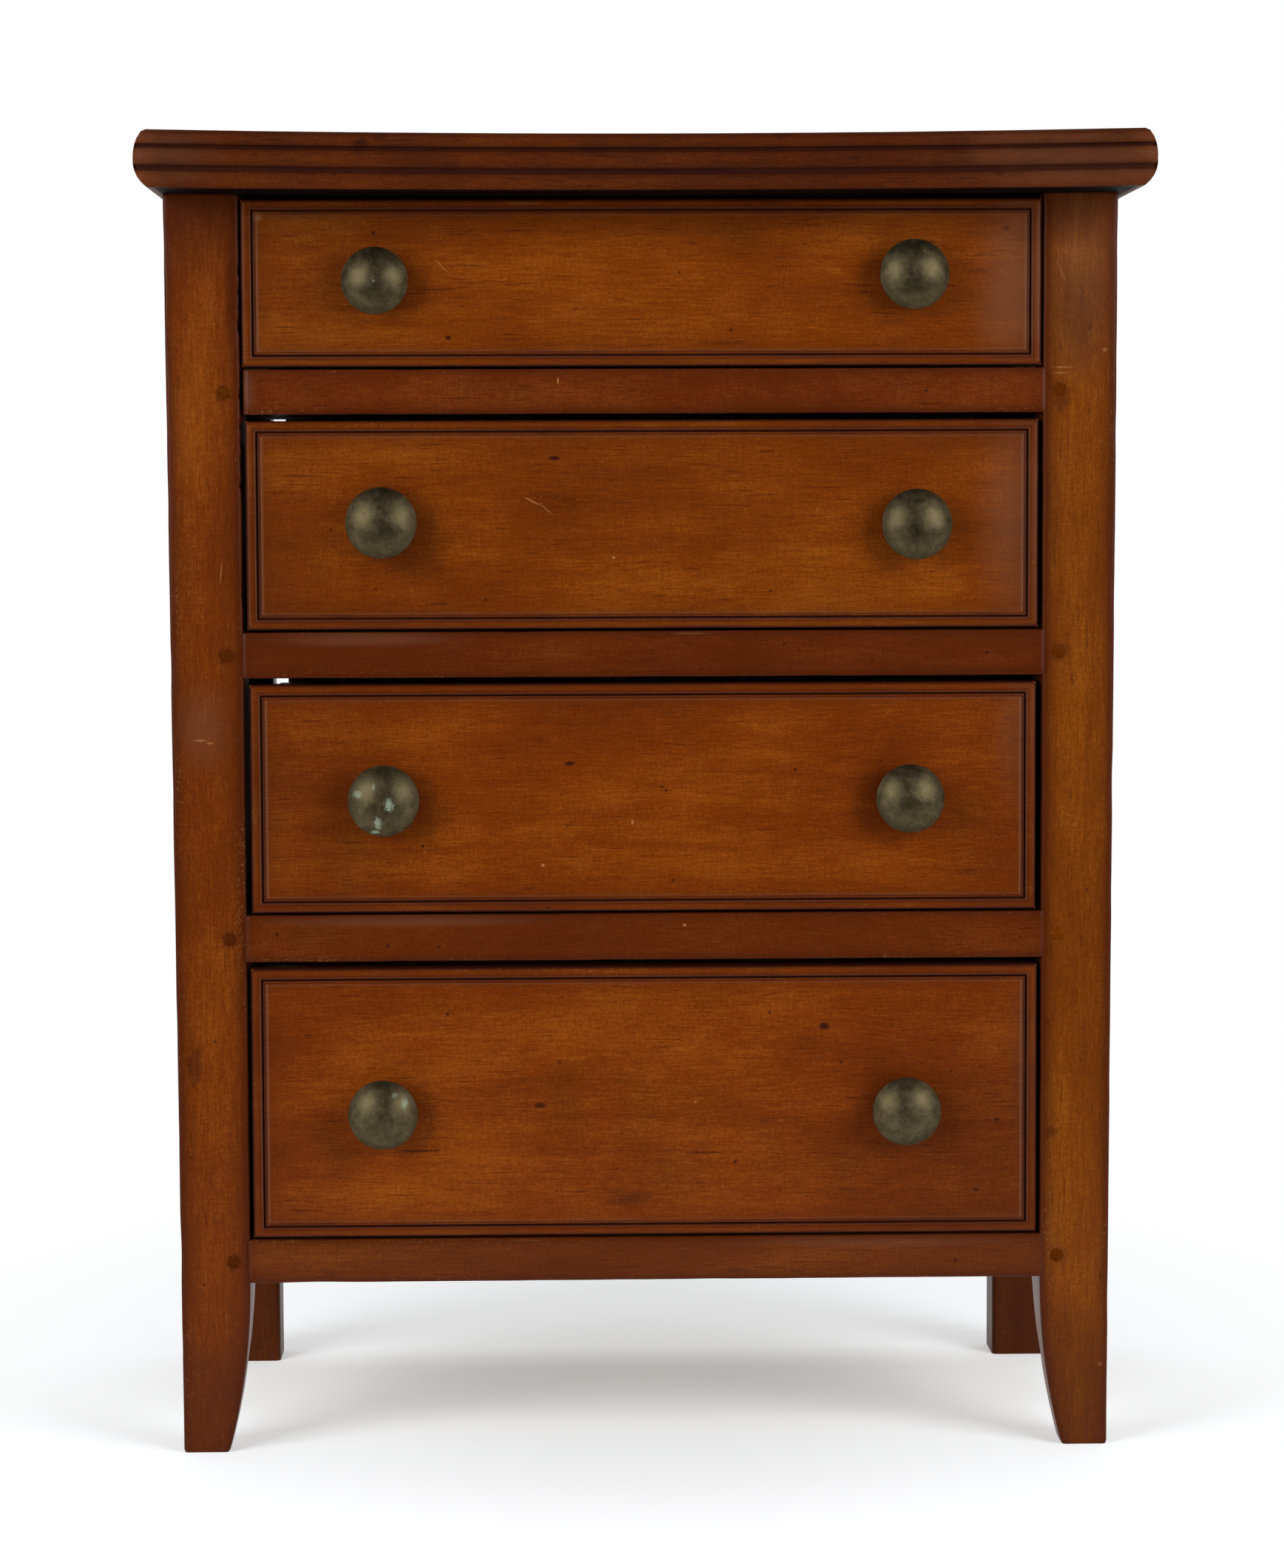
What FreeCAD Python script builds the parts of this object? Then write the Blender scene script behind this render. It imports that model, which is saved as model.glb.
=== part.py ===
# Miniature tall chest: four graduated drawers in a pegged post-and-rail case, under a sagged
# top board with a reeded front edge. Millimetres, +Z up, front towards -Y.
#
# The chest is laid out from the middle of the front posts' faces, at the floor. Each piece is
# moved at the end, so that the origin of the finished part is the middle of its whole base.

import FreeCAD, Part
import math
import os

Vec = FreeCAD.Vector

# Case
case_w = 241.0            # over the front posts, under the top
case_d = 120.0            # faces of the front posts to the backs of the rear posts
post_w = 19.0             # a post's width at its top; its inner face is upright
post_d = 19.0
post_taper = 1.4          # a post's outer face leans in by this much from top to floor
rear_post_d = 15.0
post_round = 0.9          # worn arrises
rear_post_round = 1.5     # on the inner front arris of a rear post
stub_w = 8.0              # square tenon on each post, up into the top board
stub_h = 6.0

# Feet: each front post runs down past the bottom rail
foot_h = 44.0             # floor to the underside of the bottom rail
foot_w = 11.8             # at the floor
foot_d = 9.0
foot_hollow = 2.6         # how far the back of a front foot is hollowed behind its chord

# Rails, with their tenons and pegs
tenon_stop = 9.5          # wood left between a tenon's end and the post's outer face
tenon_t = 7.0
tenon_shoulder = 1.5      # above and below a tenon
rail_round = 0.5
peg_d = 3.4
peg_inset = 4.3           # from the bay's side to a peg's axis
peg_stop = 4.0            # wood left behind a peg
peg_dome = 0.35
peg_swell = 0.1

# Side panels
panel_t = 6.0
panel_inset = 4.0         # set in from the posts' outer faces at the top
tongue_t = 3.0
tongue_l = 4.0

# Back of the case
back_t = 4.2
back_inset = 0.6          # set in from the backs of the rear posts
back_slit = 3.6           # open shrinkage gap beside the left rear post
back_joint = 6.0          # where the two boards meet, right of the middle
rear_rail_h = 11.2        # the lower one
rear_tenon_l = 5.5
rear_tenon_t = 4.5
rear_tenon_inset = 1.5    # in front of the back boards
rear_tenon_shoulder = 1.0
nail_d = 1.2
nail_l = 9.0
nail_head_d = 2.8
nail_head_t = 0.4
nail_inset = 12.0         # from the upright edges of each back board

# Runners, guides and kickers
runner_h = 10.5
runner_reach = 8.5        # how far a runner stands into the bay, under the drawer's side
runner_stub_w = 6.0
runner_stub_t = 4.0
runner_stub_inset = 1.0
runner_stub_l = 4.0       # into the front rail
runner_heel_l = 3.0       # into the rear post
guide_h = 7.0

# Top board. Its reeds and the grooves between them are listed from the top down.
reed_h = (3.4, 3.9, 4.1)
groove_h = (1.2, 1.7)
reed_bow = 0.6
reed_roll = 0.6           # how much further back the top reed ends, on the upper face
groove_deep = 0.5         # behind the edges of the reeds
top_front = 20.5          # overhang in front of the posts
top_end = 6.2             # overhang past the posts' sides
top_back = 1.5
top_shift = 0.85          # the board lies this much to the right of the case
top_sag = 1.3             # of its upper face and reeds, from the ends to the middle
under_sag = 0.8
end_crest = 7.1           # outermost line of a rounded end, above the underside
end_upper_r = 11.0
end_lower_r = 8.8
end_arris = 1.6           # width of the softened upper arris
end_arris_h = 0.8
end_arris_swell = 0.2

# Drawers
run_gap = 0.2             # under a drawer's sides
front_gap = 0.6           # under its front
kick_gap = 0.6            # over the sides, under what stops them tipping
stop_gap = 0.4            # behind the drawer, in front of the back boards
front_t = 9.5
lap_t = 3.0               # wood left in front of the lapped dovetails
side_t = 5.5
side_drop = 4.8           # a drawer's sides stop this far below the top of its front
drawer_back_t = 5.0
bottom_t = 3.0
bottom_tongue = 1.6
bottom_groove = 2.5       # depth of the groove in front and sides
bottom_up = 4.6           # lower edge of the sides to the inside floor
pin_w = 2.2               # narrow face of a dovetail pin
pin_slope = 0.2

# Beaded edge of a drawer front, from the outside in
bead_w = 1.45
bead_flat = 0.55          # nearly flat inner part of the outer bead
bead_drop = 0.75          # how far the outer bead rounds back at the very edge
bead_swell = 0.2
line_d = 0.3
inner_bead_w = 1.15
quirk_w = 0.5
quirk_d = 0.7

# Knobs
knob_stand = 10.4         # front face to the crown
crown_d = 3.0             # the faint turned centre
crown_h = 0.12
dome_h = 3.9
dome_swell = 0.75
rim_t = 0.9
rim_swell = 0.25
under_h = 1.4
under_hollow = 0.5
neck_d = 6.4
flare_d = 8.4             # where the knob meets the drawer front
flare_t = 0.6
flare_h = 1.8
flare_hollow = 0.3
shank_d = 2.8
nut_w = 6.0
nut_t = 2.0
shank_past_nut = 0.8

# The bays from the top down, each with the rail under it
bay_h = (44.0, 54.9, 60.4, 71.6)
rail_h = (11.4, 11.7, 12.0, 11.2)
top_gap = (1.5, 1.6, 1.7, 1.8)
side_gap = (0.5, 1.1, 1.5, 1.0)
tail_count = (2, 3, 3, 4)

# The eight knobs were set by hand and differ: inset from the bay's side, height above the
# bay's middle, and diameter.
knob_inset_left = (34.3, 35.4, 35.4, 34.6)
knob_inset_right = (33.2, 32.5, 34.1, 34.9)
knob_lift_left = (-0.1, 0.2, -0.6, -2.7)
knob_lift_right = (1.2, -0.6, -0.7, -2.8)
knob_d_left = (16.3, 17.5, 17.6, 17.2)
knob_d_right = (17.0, 17.3, 16.9, 17.0)

# Worked out from the sizes above
half_w = case_w / 2
open_half = half_w - post_w
rear_y = case_d - rear_post_d
panel_out = half_w - panel_inset
panel_in = panel_out - panel_t
back_y = case_d - back_inset - back_t
top_t = sum(reed_h) + sum(groove_h)
top_half = half_w + top_end
bays = {
    index + 1: {
        "bay_h": bay_h[index], "rail_h": rail_h[index], "top_gap": top_gap[index],
        "side_gap": side_gap[index], "tails": tail_count[index],
        "knobs": {
            "left": (knob_inset_left[index], knob_lift_left[index], knob_d_left[index]),
            "right": (knob_inset_right[index], knob_lift_right[index], knob_d_right[index]),
        },
    }
    for index in range(len(bay_h))
}
runner_in = open_half - runner_reach

# Directions that outlines are drawn against: from the front, from the right and from above
seen_front = Vec(0, -1, 0)
seen_right = Vec(1, 0, 0)
seen_above = Vec(0, 0, 1)


def stack_levels():
    # Height of each bay's floor, which is the top of the rail under it, and of the case.
    floors = {}
    level = foot_h
    for number in sorted(bays, reverse=True):
        floors[number] = level + bays[number]["rail_h"]
        level = floors[number] + bays[number]["bay_h"]
    return floors, level


bay_floor, case_top = stack_levels()


def drawer_sizes(number):
    # The places of a drawer's faces in the closed chest.
    bay = bays[number]
    front_top = bay_floor[number] + bay["bay_h"] - bay["top_gap"]
    low = bay_floor[number] + run_gap
    return {
        "half": open_half - bay["side_gap"],
        "front_low": bay_floor[number] + front_gap,
        "front_top": front_top,
        "low": low,
        "inside_floor": low + bottom_up,
        "side_top": front_top - side_drop,
        "end": back_y - stop_gap,
    }


kicker_low = drawer_sizes(1)["side_top"] + kick_gap


def block(x0, x1, y0, y1, z0, z1):
    return Part.makeBox(x1 - x0, y1 - y0, z1 - z0, Vec(x0, y0, z0))


def outline(seen, start, runs):
    # A closed face, drawn anticlockwise as it is seen. A run is the end of a straight line,
    # or (end, swell) of an arc that stands out from its chord by swell, or in if negative.
    edges = []
    here = start
    for run in runs:
        if isinstance(run, tuple):
            end, swell = run
            outwards = (end - here).cross(seen).normalize()
            edges.append(Part.Arc(here, (here + end) / 2 + outwards * swell, end).toShape())
        else:
            end = run
            edges.append(Part.LineSegment(here, end).toShape())
        here = end
    if here != start:
        edges.append(Part.LineSegment(here, start).toShape())
    return Part.Face(Part.Wire(edges))


def fall(radius, reach):
    # How far an arc falls back from its outermost point, at a distance along its tangent.
    return radius - math.sqrt(radius ** 2 - reach ** 2)


def swell_of(radius, start, end):
    # How far an arc of this radius stands out from its chord.
    return fall(radius, start.distanceToPoint(end) / 2)


def rounded(shape, radius, wanted):
    # Fillets the edges that wanted(bounding box of the edge) picks.
    edges = [edge for edge in shape.Edges if wanted(edge.BoundBox)]
    return shape.makeFillet(radius, edges)


def one_solid(shape):
    # Booleans return compounds; a single piece is kept as its solid.
    return shape.Solids[0] if len(shape.Solids) == 1 else shape


def cut_all(shape, tools):
    for tool in tools:
        shape = shape.cut(tool)
    return one_solid(shape)


def joined(*shapes):
    return one_solid(shapes[0].fuse(list(shapes[1:])).removeSplitter())


def mirrored(shape):
    return shape.mirror(Vec(0, 0, 0), Vec(1, 0, 0))


def pair(name, right, tools):
    # A right-hand piece and its mirror image as two nodes, each cut by what it fits.
    return {name + "_left": cut_all(mirrored(right), tools), name + "_right": cut_all(right, tools)}


def top_front_section():
    # Section of the board at its middle, with the reeds down its front edge.
    edge_y = reed_bow - top_front
    groove_y = edge_y + groove_deep
    back = case_d + top_back
    z = case_top - top_sag + top_t
    start = Vec(0, back, z - top_t)
    runs = [Vec(0, back, z), Vec(0, edge_y + reed_roll, z)]
    for height, groove in zip(reed_h, groove_h + (0,)):
        z -= height
        runs.append((Vec(0, edge_y, z), reed_bow))
        if groove:
            runs += [Vec(0, groove_y, z), Vec(0, groove_y, z - groove), Vec(0, edge_y, z - groove)]
            z -= groove
    return outline(seen_right, start, runs)


def top_end_section():
    # Outline of the board seen from the front, with its rounded ends and sagged underside,
    # carried on upwards past the upper face.
    lower = Vec(top_half - fall(end_lower_r, end_crest), 0, case_top)
    crest = Vec(top_half, 0, case_top + end_crest)
    rise = top_t - end_arris_h - end_crest
    shoulder = Vec(top_half - fall(end_upper_r, rise), 0, crest.z + rise)
    upper = Vec(shoulder.x - end_arris, 0, case_top + top_t)
    above = Vec(upper.x, 0, upper.z + top_t)
    lower_swell = swell_of(end_lower_r, lower, crest)
    upper_swell = swell_of(end_upper_r, crest, shoulder)

    def left(point):
        return Vec(-point.x, point.y, point.z)

    return outline(seen_front, left(lower), [
        (lower, under_sag), (crest, lower_swell), (shoulder, upper_swell), (upper, end_arris_swell),
        above, left(above), left(upper),
        (left(shoulder), end_arris_swell), (left(crest), upper_swell), (left(lower), lower_swell),
    ])


def top_board():
    # The front section, turned about a far axis above the board, gives the sag. What it
    # sweeps is trimmed to the outline of the ends and the underside.
    sag_r = top_half ** 2 / (2 * top_sag)
    half_sweep = math.degrees(math.asin((top_half + top_end) / sag_r))
    axis_at = Vec(0, 0, case_top + sag_r)
    section = top_front_section()
    section.rotate(axis_at, Vec(0, 1, 0), -half_sweep)
    bent = section.revolve(axis_at, Vec(0, 1, 0), 2 * half_sweep)
    ends = top_end_section()
    ends.translate(Vec(0, -2 * top_front, 0))
    board = bent.common(ends.extrude(Vec(0, case_d + 4 * top_front, 0)))
    board.translate(Vec(top_shift, 0, 0))
    return one_solid(board)


def stub(y):
    # Square tenon of a right-hand post, up into the top board.
    x = open_half + post_w / 2
    half = stub_w / 2
    return block(x - half, x + half, y - half, y + half, case_top - stub_h, case_top + stub_h)


def front_post():
    # Right-hand post. Seen from the front, the foot narrows along an arc that leaves the
    # post's inner face smoothly; its back is hollowed.
    foot_x = half_w - post_taper - foot_w
    step = foot_x - open_half
    foot_r = (foot_h ** 2 + step ** 2) / (2 * step)
    toe = Vec(foot_x, 0, 0)
    hip = Vec(open_half, 0, foot_h)
    across = outline(seen_front, toe, [
        Vec(half_w - post_taper, 0, 0), Vec(half_w, 0, case_top), Vec(open_half, 0, case_top), hip,
        (toe, swell_of(foot_r, hip, toe)),
    ]).extrude(Vec(0, post_d, 0))
    along = outline(seen_right, Vec(0, 0, 0), [
        Vec(0, foot_d, 0), (Vec(0, post_d, foot_h), -foot_hollow),
        Vec(0, post_d, case_top), Vec(0, 0, case_top),
    ]).extrude(Vec(case_w, 0, 0))
    post = one_solid(across.common(along))
    return rounded(post, post_round, lambda box: box.YMax < foot_d / 2 and box.ZLength > foot_h / 2)


def rear_post():
    # Right-hand post, straight to the floor.
    post = outline(seen_front, Vec(open_half, rear_y, 0), [
        Vec(half_w - post_taper, rear_y, 0), Vec(half_w, rear_y, case_top),
        Vec(open_half, rear_y, case_top),
    ]).extrude(Vec(0, rear_post_d, 0))
    middle_x = open_half + post_w / 2
    middle_y = rear_y + rear_post_d / 2
    post = rounded(post, post_round, lambda box: box.YMin > middle_y and box.ZLength > foot_h)
    return rounded(post, rear_post_round,
                   lambda box: box.YMax < middle_y and box.XMax < middle_x and box.ZLength > foot_h)


def front_rail(number):
    top = bay_floor[number]
    low = top - bays[number]["rail_h"]
    body = block(-open_half, open_half, 0, post_d, low, top)
    body = rounded(body, rail_round, lambda box: box.YMax < post_d / 2 and box.XLength > open_half)
    reach = half_w - tenon_stop
    tenon_y = (post_d - tenon_t) / 2
    tenon = block(-reach, reach, tenon_y, tenon_y + tenon_t, low + tenon_shoulder, top - tenon_shoulder)
    return joined(body, tenon)


def pegs():
    # One peg through each tenon, a little proud of the post.
    solids = []
    radius = peg_d / 2
    end = post_d - peg_stop
    for number in bays:
        z = bay_floor[number] - bays[number]["rail_h"] / 2
        for x in (-open_half - peg_inset, open_half + peg_inset):
            half_section = outline(seen_above, Vec(x, -peg_dome, z), [
                (Vec(x + radius, 0, z), peg_swell), Vec(x + radius, end, z), Vec(x, end, z),
            ])
            solids.append(half_section.revolve(Vec(x, 0, z), Vec(0, 1, 0), 360))
    return solids


def side_panel():
    # Right-hand panel, tongued into the front and rear posts.
    panel = block(panel_in, panel_out, post_d, rear_y, foot_h, case_top)
    tongue_x = (panel_in + panel_out - tongue_t) / 2
    tongue = block(tongue_x, tongue_x + tongue_t, post_d - tongue_l, rear_y + tongue_l, foot_h, case_top)
    return joined(panel, tongue)


def rear_rail(low, top):
    body = block(-open_half, open_half, rear_y, back_y, low, top)
    reach = open_half + rear_tenon_l
    tenon_end = back_y - rear_tenon_inset
    tenon = block(-reach, reach, tenon_end - rear_tenon_t, tenon_end,
                  low + rear_tenon_shoulder, top - rear_tenon_shoulder)
    return joined(body, tenon)


def back_nails():
    solids = []
    face_y = back_y + back_t
    along = Vec(0, 1, 0)
    for x in (-open_half + back_slit + nail_inset, back_joint - nail_inset,
              back_joint + nail_inset, open_half - nail_inset):
        for z in (foot_h + rear_rail_h / 2, (kicker_low + case_top) / 2):
            shank = Part.makeCylinder(nail_d / 2, nail_l, Vec(x, face_y - nail_l, z), along)
            head = Part.makeCylinder(nail_head_d / 2, nail_head_t, Vec(x, face_y, z), along)
            solids.append(joined(shank, head))
    return solids


def runner(number):
    # Right-hand runner, level with its rail, stubbed into the rail and the rear post.
    top = bay_floor[number]
    low = top - runner_h
    stub_low = (low + top - runner_stub_t) / 2
    stub_top = stub_low + runner_stub_t
    stub_x = runner_in + runner_stub_inset
    heel_x = open_half + runner_stub_inset
    body = block(runner_in, panel_in, post_d, rear_y, low, top)
    front_stub = block(stub_x, stub_x + runner_stub_w, post_d - runner_stub_l, post_d, stub_low, stub_top)
    heel = block(heel_x, heel_x + runner_stub_w, rear_y, rear_y + runner_heel_l, stub_low, stub_top)
    return joined(body, front_stub, heel)


def guides():
    # A strip on each runner, against the panel, keeps the drawer off the panel.
    solids = []
    for number in bays:
        low = bay_floor[number]
        strip = block(open_half, panel_in, post_d, rear_y, low, low + guide_h)
        solids += [mirrored(strip), strip]
    return solids


def pin_gaps(low, top, count, end_y, shoulder_y, x0, x1):
    # What is sawn out of a side between its tails: a gap round each pin, and half a gap at
    # each edge. The gaps widen from end_y to shoulder_y.
    gaps = []
    narrow = pin_w / 2
    wide = narrow + abs(end_y - shoulder_y) * pin_slope
    for index in range(count + 1):
        z = low + index * (top - low) / count
        corners = [Vec(x0, end_y, z - narrow), Vec(x0, end_y, z + narrow),
                   Vec(x0, shoulder_y, z + wide), Vec(x0, shoulder_y, z - wide)]
        gaps.append(Part.Face(Part.makePolygon(corners + corners[:1])).extrude(Vec(x1 - x0, 0, 0)))
    return gaps


def drawer_bottom(size):
    # Slid in from behind, under the back, with a tongue in the grooves of front and sides.
    inside = size["half"] - side_t
    top = size["inside_floor"]
    reach = inside + bottom_groove
    panel = block(-inside, inside, front_t, size["end"], top - bottom_t, top)
    tongue = block(-reach, reach, front_t - bottom_groove, size["end"], top - bottom_tongue, top)
    return joined(panel, tongue)


def drawer_side(number, size, bottom):
    # Right-hand side: lapped tails into the front, through tails into the back.
    x0 = size["half"] - side_t
    x1 = size["half"]
    tails = bays[number]["tails"]
    floor = size["inside_floor"]
    side = block(x0, x1, lap_t, size["end"], size["low"], size["side_top"])
    front_gaps = pin_gaps(size["low"], size["side_top"], tails, lap_t, front_t, x0, x1)
    rear_shoulder = size["end"] - drawer_back_t
    rear_gaps = pin_gaps(floor, size["side_top"], tails, size["end"], rear_shoulder, x0, x1)
    over_floor = block(x0, x1, rear_shoulder, size["end"], floor, case_top)
    rear_gaps = [gap.common(over_floor) for gap in rear_gaps]
    return cut_all(side, front_gaps + rear_gaps + [bottom])


def bead_cutter(size):
    # The wood taken off round the face of a front: outer bead, fine line, inner bead and
    # quirk, carried round the four edges with mitred corners.
    x = size["half"]
    z0 = size["front_low"]
    z1 = size["front_top"]
    path = Part.makePolygon([Vec(0, 0, z0), Vec(x, 0, z0), Vec(x, 0, z1), Vec(-x, 0, z1),
                             Vec(-x, 0, z0), Vec(0, 0, z0)])

    def point(deep, inwards):
        return Vec(0, deep, z0 + inwards)

    air = 1.0
    quirk_at = bead_w + inner_bead_w
    field_at = quirk_at + quirk_w
    profile = outline(seen_right, point(-air, -air), [
        point(bead_drop, -air), point(bead_drop, 0), (point(0, bead_w - bead_flat), -bead_swell),
        point(line_d, bead_w), (point(line_d, quirk_at), -line_d),
        point(quirk_d, quirk_at), point(quirk_d, field_at), point(-air, field_at),
    ])
    sweep = Part.BRepOffsetAPI.MakePipeShell(path)
    sweep.setTransitionMode(1)
    sweep.add(profile.OuterWire)
    sweep.build()
    sweep.makeSolid()
    return sweep.shape()


def drawer_front(size, fitted):
    blank = block(-size["half"], size["half"], 0, front_t, size["front_low"], size["front_top"])
    return cut_all(blank, [bead_cutter(size)] + fitted)


def drawer_back(size, sides):
    board = block(-size["half"], size["half"], size["end"] - drawer_back_t, size["end"],
                  size["inside_floor"], size["side_top"])
    return cut_all(board, sides)


def knob(x, z, diameter):
    # Turned head, neck and flared base, with the shank that passes through the front.
    crown_y = -knob_stand
    rim_y = crown_y + dome_h
    neck_y = rim_y + rim_t + under_h
    shank_end = front_t + nut_t + shank_past_nut

    def point(across, y):
        return Vec(x + across / 2, y, z)

    half_section = outline(seen_above, point(0, crown_y), [
        point(crown_d, crown_y + crown_h), (point(diameter, rim_y), dome_swell),
        (point(diameter, rim_y + rim_t), rim_swell), (point(neck_d, neck_y), -under_hollow),
        point(neck_d, -flare_h), (point(flare_d, -flare_t), -flare_hollow), point(flare_d, 0),
        point(shank_d, 0), point(shank_d, shank_end), point(0, shank_end),
    ])
    return half_section.revolve(Vec(x, 0, z), Vec(0, 1, 0), 360)


def nut(x, z, shank):
    half = nut_w / 2
    plate = block(x - half, x + half, front_t, front_t + nut_t, z - half, z + half)
    return one_solid(plate.cut(shank))


def drawer(number):
    # Every piece of one drawer, by node name.
    size = drawer_sizes(number)
    middle = bay_floor[number] + bays[number]["bay_h"] / 2
    knobs = {}
    nuts = []
    for hand, sign in (("left", -1), ("right", 1)):
        inset, lift, diameter = bays[number]["knobs"][hand]
        x = sign * (open_half - inset)
        knobs[hand] = knob(x, middle + lift, diameter)
        nuts.append(nut(x, middle + lift, knobs[hand]))
    bottom = drawer_bottom(size)
    right = drawer_side(number, size, bottom)
    left = mirrored(right)
    label = "drawer_%d_" % number
    return {
        label + "front": drawer_front(size, [left, right, bottom, knobs["left"], knobs["right"]]),
        label + "side_left": left,
        label + "side_right": right,
        label + "back": drawer_back(size, [left, right]),
        label + "bottom": bottom,
        label + "knob_left": knobs["left"],
        label + "knob_right": knobs["right"],
        label + "nuts": nuts,
    }


def case():
    # Every piece of the fixed case, by node name. Mortises, grooves and holes are cut by the
    # pieces that fill them, and what meets the underside of the board is scribed to it.
    front_stub = stub(post_d / 2)
    rear_stub = stub(rear_y + rear_post_d / 2)
    board = cut_all(top_board(), [front_stub, mirrored(front_stub), rear_stub, mirrored(rear_stub)])
    panels = pair("side_panel", side_panel(), [board])
    rails = {number: front_rail(number) for number in bays}
    rear_low = rear_rail(foot_h, foot_h + rear_rail_h)
    rear_top = rear_rail(kicker_low, case_top).cut(board)
    runners = {}
    for number in bays:
        runners.update(pair("runner_%d" % number, runner(number), []))
    peg_solids = pegs()
    nail_solids = back_nails()
    back_left = block(-open_half + back_slit, back_joint, back_y, back_y + back_t, foot_h, case_top)
    back_right = block(back_joint, open_half, back_y, back_y + back_t, foot_h, case_top)
    kicker = block(runner_in, panel_in, post_d, rear_y, kicker_low, case_top)

    panel_tools = [board] + list(panels.values())
    runner_tools = list(runners.values())
    nodes = {"top_board": board}
    nodes.update(pair("post_front", joined(front_post(), front_stub),
                      panel_tools + list(rails.values()) + peg_solids))
    nodes.update(pair("post_rear", joined(rear_post(), rear_stub),
                      panel_tools + runner_tools + [rear_low, rear_top]))
    nodes.update(panels)
    for number, rail in rails.items():
        name = "rail_bottom" if number == max(bays) else "rail_%d" % number
        nodes[name] = cut_all(rail, peg_solids + runner_tools)
    nodes["rear_rail_top"] = cut_all(rear_top, nail_solids)
    nodes["rear_rail_bottom"] = cut_all(rear_low, nail_solids)
    nodes["back_board_left"] = cut_all(back_left, [board] + nail_solids)
    nodes["back_board_right"] = cut_all(back_right, [board] + nail_solids)
    nodes["back_nails"] = nail_solids
    nodes.update(runners)
    nodes["guides"] = guides()
    nodes.update(pair("kicker", kicker, [board]))
    nodes["pegs"] = peg_solids
    return nodes


def write_nodes(nodes):
    # Moves each piece to the finished part's origin and writes it.
    to_origin = Vec(-top_shift, -(case_d + top_back - top_front) / 2, 0)
    os.makedirs("parts", exist_ok=True)
    for name, shape in nodes.items():
        if isinstance(shape, list):
            shape = Part.makeCompound(shape)
        shape = shape.copy()
        shape.translate(to_origin)
        shape.exportStep(os.path.join("parts", name + ".step"))
        state = "valid" if shape.isValid() else "NOT VALID"
        print("%-22s %d solid(s) %10.1f mm3 %s" % (name, len(shape.Solids), shape.Volume, state))


all_nodes = case()
for drawer_number in bays:
    all_nodes.update(drawer(drawer_number))
write_nodes(all_nodes)
print(len(all_nodes), "nodes, height", round(case_top + top_t, 2))
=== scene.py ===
import math
import bmesh
import bpy
from mathutils import Matrix, Vector, noise


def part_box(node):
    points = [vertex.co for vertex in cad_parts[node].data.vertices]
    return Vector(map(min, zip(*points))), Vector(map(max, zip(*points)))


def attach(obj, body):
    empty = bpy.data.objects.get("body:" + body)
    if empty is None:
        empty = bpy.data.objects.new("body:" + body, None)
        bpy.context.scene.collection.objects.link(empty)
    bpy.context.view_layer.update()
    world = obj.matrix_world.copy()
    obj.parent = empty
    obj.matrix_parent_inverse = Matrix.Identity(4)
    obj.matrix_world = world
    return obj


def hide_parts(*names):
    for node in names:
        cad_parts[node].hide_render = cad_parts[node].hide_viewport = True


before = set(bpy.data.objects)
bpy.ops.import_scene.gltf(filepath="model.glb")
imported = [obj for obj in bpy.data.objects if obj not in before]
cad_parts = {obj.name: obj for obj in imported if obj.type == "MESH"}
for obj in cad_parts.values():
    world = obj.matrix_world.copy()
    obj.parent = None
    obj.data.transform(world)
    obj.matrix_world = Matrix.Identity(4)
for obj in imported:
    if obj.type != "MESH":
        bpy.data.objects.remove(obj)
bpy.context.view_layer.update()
print("frame loaded:", len(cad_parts), "nodes")

# The chest is laid out in millimetres from the middle of the front posts' faces, at the floor,
# as the CAD source is. Its place in the frame is read from the posts.
mm = 0.001
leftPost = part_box("post_front_left")
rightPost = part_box("post_front_right")
middleX = (leftPost[0].x + rightPost[1].x) / 2 / mm
frontY = leftPost[0].y / mm

case = {
    "halfWidth": 120.5,
    "postWidth": 19.0,
    "postDepth": 19.0,
    "postTaper": 1.4,     # outer faces lean in by this much at the floor
    "top": 321.2,         # underside of the top board at its ends
    "footHeight": 44.0,
    "footWidth": 11.8,
    "footDepth": 9.0,
    "footHollow": 2.6,
}
openHalf = case["halfWidth"] - case["postWidth"]


# Materials

def linear(r, g, b):
    # A colour as it is read off a screen, 0 to 255, as the shader wants it.
    def one(value):
        value = value / 255
        return value / 12.92 if value <= 0.04045 else ((value + 0.055) / 1.055) ** 2.4
    return (one(r), one(g), one(b), 1.0)


class Wire:
    # A socket in a material. Arithmetic on it adds Math nodes.
    def __init__(self, finish, socket):
        self.finish = finish
        self.socket = socket

    def math(self, operation, first, second=None, clamp=False):
        values = {0: first}
        if second is not None:
            values[1] = second
        return self.finish.node("ShaderNodeMath", {"operation": operation, "use_clamp": clamp}, values)

    def __add__(self, other):
        return self.math("ADD", self, other)

    def __radd__(self, other):
        return self.math("ADD", other, self)

    def __sub__(self, other):
        return self.math("SUBTRACT", self, other)

    def __rsub__(self, other):
        return self.math("SUBTRACT", other, self)

    def __mul__(self, other):
        return self.math("MULTIPLY", self, other)

    def most(self, other):
        return self.math("MAXIMUM", self, other)

    def clipped(self):
        return self.math("ADD", self, 0.0, clamp=True)


# Where the edge of a mark starts and where it is full, in the mark's own half sizes.
markEdge = {
    "softFrom": 6,        # marks wider than this, in millimetres, have a soft edge
    "small": (1.25, 0.45),
    "wide": (1.3, 0.15),
    "scratch": (1.2, 0.3),
}


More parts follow.
